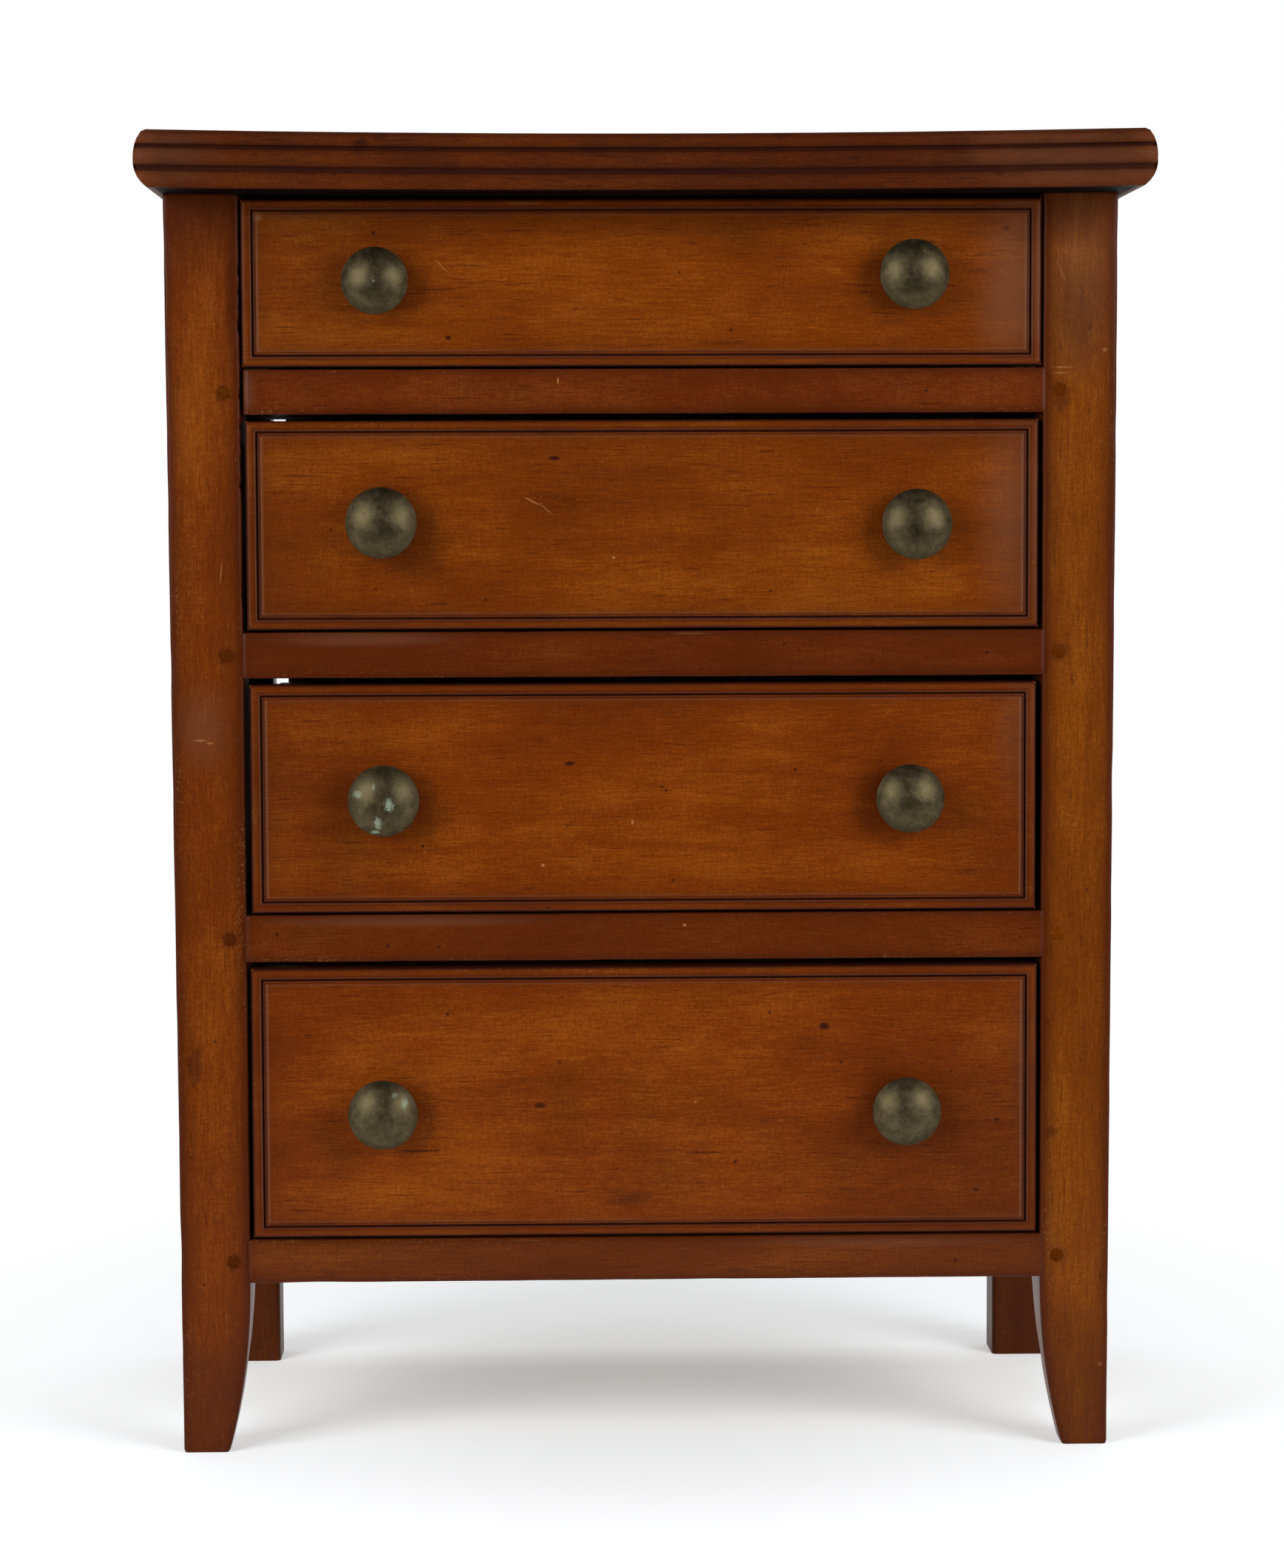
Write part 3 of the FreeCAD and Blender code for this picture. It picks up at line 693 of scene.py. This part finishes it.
def postShape(side):
    # Side is -1 for the left post and 1 for the right one.
    rings, arris, rim = [], [], []
    seed = 40.0 * side
    top, toe = case["top"], posts["toe"]
    for z in [0.0, 0.35, toe] + spaced(2 * toe, top + 0.4, 1.25):
        outer = case["halfWidth"] - case["postTaper"] * (1 - z / top)
        drawn = max(0.0, toe - z) * posts["toeSlope"]
        radii = [posts["round"] * (1 + 0.4 * wave(z / 14, seed, i * 3.3)) for i in range(4)]
        section = roundedSection(postInner(z) + drawn, outer - drawn, drawn, postBack(z) - drawn, radii,
                                 (12, 4, 3, 4))
        ring = []
        for across, deep, outA, outB, reach in section:
            nearArris = math.exp(-reach / 1.1)
            move = 0.05 + 0.05 * wave(across / 9, deep / 9 + seed, z / 22)
            rubbed = max(0.0, wave(across / 6 + seed, deep / 6, z / 15) - 0.1)
            move += rubbed * posts["wear"] * nearArris
            if side < 0 and z > posts["raggedFrom"] and across < openHalf + 2.2 and deep < 2:
                bite = max(0.0, wave(z / 2.6, 0.2, 4.4) + 0.5 * wave(z / 1.1, 1.2, 4.4) - 0.12)
                move += bite * posts["ragged"] * math.exp(-reach / 0.9)
            ring.append((side * (across - outA * move), deep - outB * move, z))
            arris.append(nearArris if deep < 4 else nearArris * 0.6)
            # painted shade beside the front face's edges
            rim.append(math.exp(-reach / 2.6) if deep < 2 else 0.2)
        rings.append(ring)
    return rings, {"arris": arris, "rim": rim}


def makePosts():
    for name, side in (("left", -1), ("right", 1)):
        look = posts[name]
        rings, layers = postShape(side)
        points, faces = loft(rings)
        wide, strength = look["pegMark"]
        dark = [(side * pegX, pegRows[row], wide, wide, strength) for row in look["pegRows"]] + look["dark"]
        finish = woodFinish(name + "Post", "z", look["seed"], look["tones"], dark=dark, pale=look["pale"],
                            bloom=look["bloom"], scratched=look["scratched"])
        makePiece("post_%s_worn" % name, points, faces, finish, "case", layers, ["post_front_" + name])


# Rails

# Sheen marks along the rails' top edges and at rail_1's left end are painted sheen.
rails = {
    "rail_1": {
        "low": 265.8, "top": 277.2, "leftGap": 0.8, "seed": 5,
        "tones": {"mid": (91, 35, 5), "light": (124, 58, 15)},
        "pale": [(-21.4, 274.2, 0.25, 0.8, 0.8)], "bloom": [(-100, 272, 2.5, 8, 0.3)]},
    "rail_2": {
        "low": 199.2, "top": 210.9, "leftGap": -0.5, "seed": 18,
        "tones": {"mid": (85, 32, 4), "light": (115, 52, 12)},
        "pale": [(12, 210.2, 5, 0.3, 0.3)], "bloom": [(-70, 209.5, 26, 2.4, 0.4)]},
    "rail_3": {
        "low": 126.8, "top": 138.8, "leftGap": -0.5, "seed": 33,
        "tones": {"mid": (92, 37, 5), "light": (126, 60, 14)},
        "pale": [(10.2, 135.7, 0.5, 0.4, 0.7)], "bloom": [(-60, 137.6, 34, 2.2, 0.4)]},
    "rail_bottom": {
        "low": 44.0, "top": 55.2, "leftGap": -0.5, "seed": 51,
        "tones": {"mid": (94, 41, 9), "light": (128, 66, 20)},
        "pale": [(-30, 54.6, 5, 0.3, 0.25)], "bloom": [(60, 54, 36, 2.2, 0.3)]},
}
rightLap = 1.1    # rails run this far over the right post's rounded arris, where the joint is filled


def makeRail(node, look):
    rings, arris, rim = [], [], []
    seed = look["seed"]
    for x in spaced(-openHalf + look["leftGap"], openHalf + rightLap, 1.5):
        fromEnd = openHalf - abs(x)
        atEnd = math.exp(-fromEnd / 1.5) if x < 0 else 0.5 * math.exp(-fromEnd / 3)
        radii = [0.5 * (1 + 0.5 * wave(x / 11, seed, i * 2.1)) for i in range(4)]
        section = roundedSection(0.0, case["postDepth"], look["low"], look["top"], radii, (3, 3, 3, 8))
        ring = []
        for deep, high, outA, outB, reach in section:
            nearArris = math.exp(-reach / 0.9)
            move = 0.04 + 0.04 * wave(x / 24, deep / 8 + seed, high / 9)
            move += max(0.0, wave(x / 13, deep / 6 + seed, high / 6) - 0.1) * 0.2 * nearArris
            ring.append((x, deep - outA * move, high - outB * move))
            upper = high > (look["low"] + look["top"]) / 2
            arris.append(nearArris * (0.6 if upper else 1.0) if deep < 3 else 0.2)
            # painted shade beside the arrises, and darker towards the ends that meet the posts
            rim.append(min(1.0, math.exp(-reach / 1.6) * 0.7 + atEnd) if deep < 2 else 0.3)
        rings.append(ring)
    points, faces = loft(rings)
    finish = woodFinish(node + "Wood", "x", seed * 9.0, look["tones"], pale=look["pale"], bloom=look["bloom"])
    makePiece(node + "_worn", points, faces, finish, "case", {"arris": arris, "rim": rim}, [node])


# Drawer fronts

# What the bead cutter left, from a front's edge inwards, in millimetres.
bead = {
    "round": 0.95,        # the outer side rolls over within this
    "drop": 0.75,
    "crest": 0.14,
    "line": (1.86, 2.06),   # a fine painted dark line along the bead, the shade of a fine cut
    "end": 2.6,
    "quirk": 0.5,
    "quirkDepth": 0.7,
    "proud": 0.08,        # the worked face stands this far in front of the plain solid
    "wrap": 3.0,          # and goes this far back round its edges, to the dovetails
    "corner": 1.7,        # the fronts' corners are rounded off
    "shade": (3.1, 3.8),  # painted shade along the field's edge, beside the quirk
    "levelShade": 3.4,    # where the edge is level, only from here on
    # painted highlight bands on both sides of the painted shade
    "haze": ((2.2, 2.4), (3.8, 4.0)),
    "drifting": (1.5, 2.4),
}
beadStops = (0.0, 0.1, 0.25, 0.45, 0.68, 0.9, 1.15, 1.4, 1.62, 1.78, 1.86, 1.96, 2.06, 2.14, 2.32, 2.5,
             2.6, 2.66, 2.78, 2.95, 3.06, 3.14, 3.3, 3.42, 3.75, 3.88, 4.6)
fieldAt = bead["end"] + bead["quirk"]


def beadDepth(d):
    look = bead
    if d < look["round"]:
        fall = look["drop"] * (1 - math.sqrt(max(0.0, 1 - (1 - d / look["round"]) ** 2)))
        return fall - look["crest"] * d / look["round"]
    if d < look["end"]:
        s = (d - look["round"]) / (look["end"] - look["round"])
        return -look["crest"] * (1 - s ** 2)
    if d < fieldAt:
        # steep towards the bead, slanting towards the field
        s = (d - look["end"]) / look["quirk"]
        return look["quirkDepth"] * min(1.0, s * 7, (1 - s) / 0.2)
    return 0.0


# Dark marks: the small ones and thin lines are grime, the ones round each knob are grime and painted shadow,
# the broad ones towards the sides are painted shade. Sheen marks at the right are painted sheen.
fronts = {
    1: {"low": 277.8, "top": 319.7, "half": 101.0, "seed": 301,
        "tones": {"mid": (117, 52, 3), "light": (156, 86, 14)},
        "dark": [(-49.0, 285.0, 0.8, 0.6, 0.9), (-67.6, 311.3, 0.6, 0.5, 0.8), (-64.5, 298.5, 11, 11, 0.4),
                 (65, 299, 11, 12, 0.4), (92, 312, 1.0, 0.7, 0.5), (-85, 298, 36, 30, 0.22),
                 (-31, 311.8, 6, 0.3, 0.4), (20, 283.5, 7, 0.3, 0.35)],
        "pale": [(-97.0, 315.6, 1.6, 1.3, 0.5), (-30, 318.6, 5, 0.4, 0.25)],
        "bloom": [(96, 300, 12, 26, 0.45)],
        "scratched": [(-52.5, 305, -48.6, 301, 0.2, 0.3)]},
    2: {"low": 211.5, "top": 264.2, "half": 100.4, "seed": 347,
        "tones": {"mid": (113, 50, 3), "light": (152, 82, 13)},
        "dark": [(-22.4, 254.7, 1.5, 0.7, 0.9), (-62.5, 236.5, 12, 13, 0.4), (66, 236, 11, 12, 0.4),
                 (-75.4, 214.3, 1.7, 0.6, 0.8), (-85, 250.3, 5.8, 0.3, 0.4), (-86, 248.2, 5.5, 0.3, 0.4),
                 (46, 247, 5.5, 0.3, 0.4), (10, 216, 5, 0.3, 0.3), (-93, 236, 17, 32, 0.18)],
        "pale": [(-7.5, 229.5, 0.4, 0.4, 0.6)],
        "bloom": [(95, 240, 10, 30, 0.35)],
        "scratched": [(-30.2, 245, -26, 242.7, 0.22, 0.5), (-26.4, 243.6, -23.1, 240.5, 0.18, 0.35)]},
    3: {"low": 139.4, "top": 197.5, "half": 100.0, "seed": 389,
        "tones": {"mid": (112, 47, 3), "light": (150, 78, 11)},
        "dark": [(-18.9, 177.3, 1.4, 0.6, 0.9), (-62.5, 167, 12, 12, 0.4), (64, 167.5, 11, 12, 0.4),
                 (-86, 165, 34, 40, 0.28), (52, 178.5, 4, 0.3, 0.35), (30, 160, 5.5, 0.35, 0.3),
                 (92, 162, 16, 34, 0.16)],
        "pale": [(-25.9, 151.3, 0.5, 0.4, 0.7), (-3.0, 162.1, 0.35, 0.7, 0.6)],
        "bloom": [(96, 185, 7, 20, 0.25)],
        "scratched": []},
    4: {"low": 55.8, "top": 125.0, "half": 100.5, "seed": 431,
        "tones": {"mid": (114, 48, 4), "light": (152, 80, 14)},
        "dark": [(46.0, 109.5, 1.5, 1.0, 0.9), (-27.0, 89.6, 1.5, 0.9, 0.8), (84.8, 66.9, 0.9, 0.7, 0.8),
                 (90.4, 85.0, 0.9, 0.6, 0.8), (-21.8, 100.8, 0.8, 0.7, 0.4), (-86.1, 107.9, 1.2, 0.7, 0.5),
                 (-58, 78, 5.6, 0.35, 0.7), (15, 77, 5.8, 0.35, 0.6), (-3.4, 65.3, 6, 2.6, 0.4),
                 (-63, 89.5, 11, 12, 0.4), (64, 90.5, 11, 12, 0.4), (88, 74, 38, 45, 0.36),
                 (-92, 80, 22, 40, 0.15)],
        "pale": [(71.7, 91.5, 0.6, 0.3, 0.5), (12.8, 90.1, 0.5, 0.3, 0.4)],
        "bloom": [(98, 100, 5, 26, 0.2)],
        "scratched": []},
}


frontWear = {
    "waver": 0.16,        # share by which the moulding's depth wavers
    "drift": 0.1,         # and its line, in millimetres
    "field": 0.05,        # waves of the flat field
    "fieldProud": 0.02,
    "edge": 0.25,
    "cornerFall": 0.8,
    "outward": 0.06,      # the skin stands this far outside the solid's edges
}


def frontStations(low, high):
    # Across a front. The first and the last place come twice, for the sides that go back.
    inner = spaced(low + beadStops[-1], high - beadStops[-1], 3.0)
    stations = [low + d for d in beadStops[:-1]] + inner + [high - d for d in reversed(beadStops[:-1])]
    return [stations[0]] + stations + [stations[-1]]


def frontGrimeAndShade(d, level, along, lane):
    # Grime and painted shade at this distance from a front's edge, along a level or an upright side: in the
    # quirk, along the fine line, beside the field and at the outer edge.
    grimeAndShade = 0.0
    if bead["end"] - 0.16 < d < fieldAt + 0.02:
        grimeAndShade = 1.0 if level else 0.8
    if bead["line"][0] < d < bead["line"][1]:
        grimeAndShade = max(grimeAndShade, (0.55 if level else 0.25) + 0.4 * wave(along / 6, lane, 8.0))
    if bead["shade"][0] < d < bead["shade"][1] and (d > bead["levelShade"] or not level):
        grimeAndShade = max(grimeAndShade, (0.5 if level else 0.62) + 0.3 * wave(along / 9, lane, 4.0))
    return max(grimeAndShade, 0.85) if d < 0.3 else grimeAndShade


def makeFront(number, look):
    wear = frontWear
    seed = look["seed"]
    half, low, top = look["half"], look["low"], look["top"]
    corner = bead["corner"]
    xs = frontStations(-half, half)
    zs = frontStations(low, top)
    lastX, lastZ = len(xs) - 1, len(zs) - 1
    points, recess, arris, rim, haze = [], [], [], [], []
    for j, z in enumerate(zs):
        for i, x in enumerate(xs):
            dx = min(x + half, half - x)
            dz = min(z - low, top - z)
            d = min(dx, dz)
            level = dz < dx
            # the moulding was worked by hand, so its depth and line waver a little
            along, side = (x, 1.0) if level else (z, 2.0)
            waver = wear["waver"] * wave(along / 13, side + seed, 0.5)
            y = beadDepth(d) * (1 + waver if d < fieldAt else 1) - bead["proud"]
            if d > fieldAt:
                y += wear["field"] * wave(x / 30, z / 16, seed) - wear["fieldProud"]
            if d < 0.5:
                y += wear["edge"] * max(0.0, wave(along / 5, side * 3 + seed, 2.2) - 0.25)
            # towards the rounded corners the face falls away
            past = math.hypot(max(0.0, corner - dx), max(0.0, corner - dz)) - corner
            if past > 0:
                y += wear["cornerFall"] * past
            back = i in (0, lastX) or j in (0, lastZ)
            if back:
                y = bead["wrap"]
            outX = wear["outward"] if dx < 0.01 else 0.0
            outZ = wear["outward"] if dz < 0.01 else 0.0
            if bead["drifting"][0] < d < bead["drifting"][1]:
                drift = wear["drift"] * wave(along / 8, side * 5 + seed, 6.0)
                outX, outZ = (outX, outZ + drift) if level else (outX + drift, outZ)
            points.append((x + (outX if x > 0 else -outX), y, z + (outZ if z > (low + top) / 2 else -outZ)))
            # painted shade round the front's edges, where it goes back into the gap, and at its rounded
            # corners
            recess.append(1.0 if back or past > -0.1 or y > 1 else frontGrimeAndShade(d, level, along, side + seed))
            arris.append(0.3 if d < fieldAt else 0.0)
            # painted highlight beside the quirk and beside the field's painted shade
            inSheenBand = any(near < d < far for near, far in bead["haze"])
            haze.append((0.2 if level else 0.6) if inSheenBand else 0.0)
            # painted shade: the field darkens towards the bead, and the bead is darker on its flanks than on
            # its crest
            if d > fieldAt:
                rim.append(math.exp(-(d - fieldAt) / 3.2) * 0.75)
            else:
                rim.append(1.0 - 0.7 * math.exp(-((d - 1.15) / 0.6) ** 2))
    row = len(xs)
    faces = []
    for j in range(lastZ):
        for i in range(lastX):
            if i in (0, lastX - 1) and j in (0, lastZ - 1):
                continue
            a = j * row + i
            faces.append((a, a + 1, a + row + 1, a + row))
    finish = woodFinish("front%d" % number, "x", seed, look["tones"], dark=look["dark"], pale=look["pale"],
                        bloom=look["bloom"], scratched=look["scratched"])
    makePiece("drawer_%d_face" % number, points, faces, finish, "drawer_%d" % number,
              {"recess": recess, "arris": arris, "rim": rim, "haze": haze})
    return finish


# Everything else keeps its solid and gets a finish

def dress(node, finish, bevel=0.0):
    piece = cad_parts[node]
    piece.data.materials.clear()
    piece.data.materials.append(finish)
    if bevel:
        weld = piece.modifiers.new("weld", "WELD")
        weld.merge_threshold = 1e-6
        soft = piece.modifiers.new("softened", "BEVEL")
        soft.width = bevel * mm
        soft.segments = 2
        soft.limit_method = "ANGLE"
        soft.angle_limit = math.radians(40)
        soft.use_clamp_overlap = True


# Marks on the knobs: (x, z) from the middle of the knob, half width, half height, strength.
# painted shade on the dome's top, middle and lower side, for the dark room that the real knobs reflect
knobShade = [(0, 6, 2.4, 4.5, 0.1), (0.5, -2.5, 4.5, 4, 0.25), (0, -7, 6, 2.5, 0.15)]
verdigrisAndGlint = {
    (3, "left"): [(1.6, -0.9, 1.1, 1.7, 0.85), (-1.3, -5.4, 0.9, 1.5, 0.8), (-2.1, -7.8, 1.1, 0.5, 0.9),
                  (-6.5, 1.9, 1.2, 0.9, 0.45), (-2.3, 3.9, 0.4, 0.9, 0.45)],
    (4, "left"): [(5.6, 3.4, 0.8, 1.6, 0.4), (3.0, 5.4, 0.8, 0.6, 0.35)],
    # a painted glint at this knob's crown, in the verdigris colour
    (1, "left"): [(0.0, -0.4, 0.35, 0.35, 0.4)],
}


def knobFinish(number, side):
    low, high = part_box("drawer_%d_knob_%s" % (number, side))
    x = (low.x + high.x) / 2 / mm - middleX
    z = (low.z + high.z) / 2 / mm

    def moved(marks):
        return [(x + dx, z + dz, wide, high, strength) for dx, dz, wide, high, strength in marks]

    seed = 400 + number * 37 + (19 if side == "right" else 0)
    return brassFinish("brass%d%s" % (number, side), seed, moved(verdigrisAndGlint.get((number, side), ())),
                       moved(knobShade))


def dressCase():
    sideWood = woodFinish("caseSides", "z", 140, {"mid": (106, 47, 6)}, rims=False)
    # the rear feet are darker towards the floor
    footMarks = [(side * 112, z, 40, 34, 0.35) for side in (-1, 1) for z in (8, 36)]
    rearWood = woodFinish("rearPosts", "z", 162, {"mid": (98, 44, 6)}, dark=footMarks, face=(110.0, 60.0),
                          rims=False, rough=0.4)
    pegMarks = [(-pegX, pegRows[row], 2.5, 2.5, 0.55) for row in posts["left"]["pegRows"]]
    pegMarks += [(pegX, pegRows[row], 2.5, 2.5, 0.35) for row in posts["right"]["pegRows"]]
    pegWood = woodFinish("pegWood", "y", 180, {"mid": (98, 44, 5), "shine": 0.0}, dark=pegMarks,
                         rims=False, figure=0.5, rough=0.75)
    backWoods = {"left": bareFinish("leftBackBoard", "z", 20, "leftBackBoard"),
                 "right": bareFinish("rightBackBoard", "z", 233, "rightBackBoard")}
    railWood = bareFinish("hiddenRails", "x", 44, "hidden")
    runnerWood = bareFinish("runners", "y", 66, "hidden")
    for side in ("left", "right"):
        dress("side_panel_" + side, sideWood)
        dress("post_rear_" + side, rearWood)
        dress("back_board_" + side, backWoods[side], 0.2)
        dress("kicker_" + side, runnerWood, 0.2)
        for number in fronts:
            dress("runner_%d_%s" % (number, side), runnerWood, 0.2)
    dress("guides", runnerWood, 0.2)
    dress("rear_rail_top", railWood, 0.2)
    dress("rear_rail_bottom", railWood, 0.2)
    dress("pegs", pegWood)
    # the solids that other pieces stand for still carry a finish
    plain = woodFinish("plainCase", "x", 190, rims=False)
    for node in ["top_board", "post_front_left", "post_front_right"] + list(rails):
        dress(node, plain)


def dressDrawers(frontFinishes):
    sideWood = bareFinish("drawerSides", "y", 88, "drawerSide")
    backWood = bareFinish("drawerBacks", "x", 99, "drawerBack")
    bottomWood = bareFinish("drawerBottoms", "x", 121, "drawerBottom")
    iron = ironFinish("oldIron")
    dress("back_nails", iron)
    for number, finish in frontFinishes.items():
        dress("drawer_%d_front" % number, finish)
        dress("drawer_%d_back" % number, backWood, 0.15)
        dress("drawer_%d_bottom" % number, bottomWood)
        dress("drawer_%d_nuts" % number, iron)
        for side in ("left", "right"):
            dress("drawer_%d_side_%s" % (number, side), sideWood, 0.15)
            dress("drawer_%d_knob_%s" % (number, side), knobFinish(number, side))


# Floor, light and camera

studio = {
    "floorFront": -0.33,
    "floorBack": 1.3,
    "floorSide": 1.0,
    "floorColour": (0.82, 0.848, 0.876, 1),
    "floorGlow": 0.38,                # what the camera and gloss see on top of the lit colour
    "glowUnder": (0.04, 0.16, 0.79),  # painted floor shadow: under the chest the glow is weaker: near, far and share when near
    "fade": (0.155, 0.38),            # between these distances the floor turns white
    "fadeShape": (1.45, 1, 0),
    "ambient": 0.22,
    "horizon": (0.3, 0.8),            # the room behind turns white between these directions
}
lamps = {
    "leftLamp": {"at": (-0.66, -0.62, 0.46), "target": (0, -0.05, 0.17), "power": 5.6, "size": (0.5, 0.6)},
    "rightLamp": {"at": (0.66, -0.62, 0.46), "target": (0, -0.05, 0.17), "power": 5.6, "size": (0.5, 0.6)},
    "topLamp": {"at": (0, 0.34, 1.2), "target": (0, 0.1, 0.1), "power": 4.2, "size": (1.0, 0.8),
                "glossy": False},
}
view = {
    "at": (-0.0251, -1.02674, 0.2453),
    "turn": -1.391,
    "tilt": -4.298,
    "roll": -0.223,
    "lens": 88.285,
    "sensor": 36.0,
}


def makeFloor():
    look = studio
    paper = Finish("paperFloor")
    own = paper.node("ShaderNodeTexCoord", out="Object")
    flat = paper.node("ShaderNodeVectorMath", {"operation": "MULTIPLY"}, {0: own, 1: look["fadeShape"]})
    far = paper.length(flat)
    fade = paper.between(far, *look["fade"])
    camera = paper.node("ShaderNodeLightPath", out="Is Camera Ray")
    gloss = paper.node("ShaderNodeLightPath", out="Is Glossy Ray")
    through = paper.node("ShaderNodeLightPath", out="Is Transmission Ray")
    seen = (camera + gloss + through).clipped()
    normal = paper.bump(0.15, 0.2, paper.cloud(0.8, 1, "x", 2, 3))
    lit = paper.node("ShaderNodeBsdfDiffuse", {}, {"Color": look["floorColour"], "Normal": normal})
    glow = paper.node("ShaderNodeEmission", {}, {"Color": (1, 1, 1, 1), "Strength": look["floorGlow"]})
    both = paper.node("ShaderNodeAddShader", {}, {0: lit, 1: glow})
    # painted shadow on the floor: less glow under the chest
    inner, outer, share = look["glowUnder"]
    glowing = paper.between(far, inner, outer, share, 1.0) * seen
    near = paper.node("ShaderNodeMixShader", {}, {0: glowing, 1: lit, 2: both})
    white = paper.node("ShaderNodeEmission", {}, {"Color": (1, 1, 1, 1), "Strength": 1.0})
    shader = paper.node("ShaderNodeMixShader", {}, {0: fade * seen, 1: near, 2: white})
    paper.node("ShaderNodeOutputMaterial", {}, {"Surface": shader})
    xs = (-look["floorSide"], look["floorSide"])
    ys = (look["floorFront"], look["floorBack"])
    mesh = bpy.data.meshes.new("floor")
    mesh.from_pydata([(x, y, 0) for y in ys for x in xs], [], [(0, 1, 3, 2)])
    mesh.materials.append(paper.material)
    floor = bpy.data.objects.new("floor", mesh)
    bpy.context.scene.collection.objects.link(floor)


def makeWorld():
    # White behind the chest for the camera and for reflections; the room in front is dark.
    world = bpy.data.worlds.new("studio")
    bpy.context.scene.world = world
    world.use_nodes = True
    room = Finish("studio", world.node_tree)
    own = room.node("ShaderNodeTexCoord", out="Generated")
    away = room.node("ShaderNodeSeparateXYZ", {}, {"Vector": own}, out="Y")
    behind = room.between(away, *studio["horizon"])
    camera = room.node("ShaderNodeLightPath", out="Is Camera Ray")
    gloss = room.node("ShaderNodeLightPath", out="Is Glossy Ray")
    through = room.node("ShaderNodeLightPath", out="Is Transmission Ray")
    seen = (camera + through + gloss * behind).clipped()
    fill = room.node("ShaderNodeBackground", {}, {"Color": (1, 1, 1, 1), "Strength": studio["ambient"]})
    dim = room.node("ShaderNodeBackground", {}, {"Color": (0, 0, 0, 1), "Strength": 1.0})
    unseen = room.node("ShaderNodeMixShader", {}, {0: gloss, 1: fill, 2: dim})
    white = room.node("ShaderNodeBackground", {}, {"Color": (1, 1, 1, 1), "Strength": 1.0})
    shader = room.node("ShaderNodeMixShader", {}, {0: seen, 1: unseen, 2: white})
    room.node("ShaderNodeOutputWorld", {}, {"Surface": shader})


def makeLamp(name, look):
    lamp = bpy.data.lights.new(name, "AREA")
    lamp.shape = "RECTANGLE"
    lamp.size, lamp.size_y = look["size"]
    lamp.energy = look["power"]
    piece = bpy.data.objects.new(name, lamp)
    bpy.context.scene.collection.objects.link(piece)
    piece.visible_glossy = look.get("glossy", True)
    aim = (Vector(look["target"]) - Vector(look["at"])).to_track_quat("-Z", "Y")
    piece.matrix_world = Matrix.Translation(look["at"]) @ aim.to_matrix().to_4x4()


def makeCamera():
    data = bpy.data.cameras.new("camera")
    data.sensor_fit = "AUTO"
    data.sensor_width = view["sensor"]
    data.lens = view["lens"]
    data.clip_start = 0.01
    camera = bpy.data.objects.new("camera", data)
    bpy.context.scene.collection.objects.link(camera)
    turn = Matrix.Rotation(math.radians(view["turn"]), 4, "Z")
    tilt = Matrix.Rotation(math.radians(90 + view["tilt"]), 4, "X")
    roll = Matrix.Rotation(math.radians(view["roll"]), 4, "Z")
    camera.matrix_world = Matrix.Translation(view["at"]) @ turn @ tilt @ roll
    bpy.context.scene.camera = camera


bpy.context.scene.view_settings.view_transform = "Standard"
makeCamera()
makeWorld()
makeFloor()
for name, look in lamps.items():
    makeLamp(name, look)
print("studio ready")
makeTopBoard()
print("top board made")
makePosts()
print("posts made")
for node, look in rails.items():
    makeRail(node, look)
print("rails made")
finishes = {number: makeFront(number, look) for number, look in fronts.items()}
print("drawer fronts made")
dressCase()
dressDrawers(finishes)
print("finishes set")
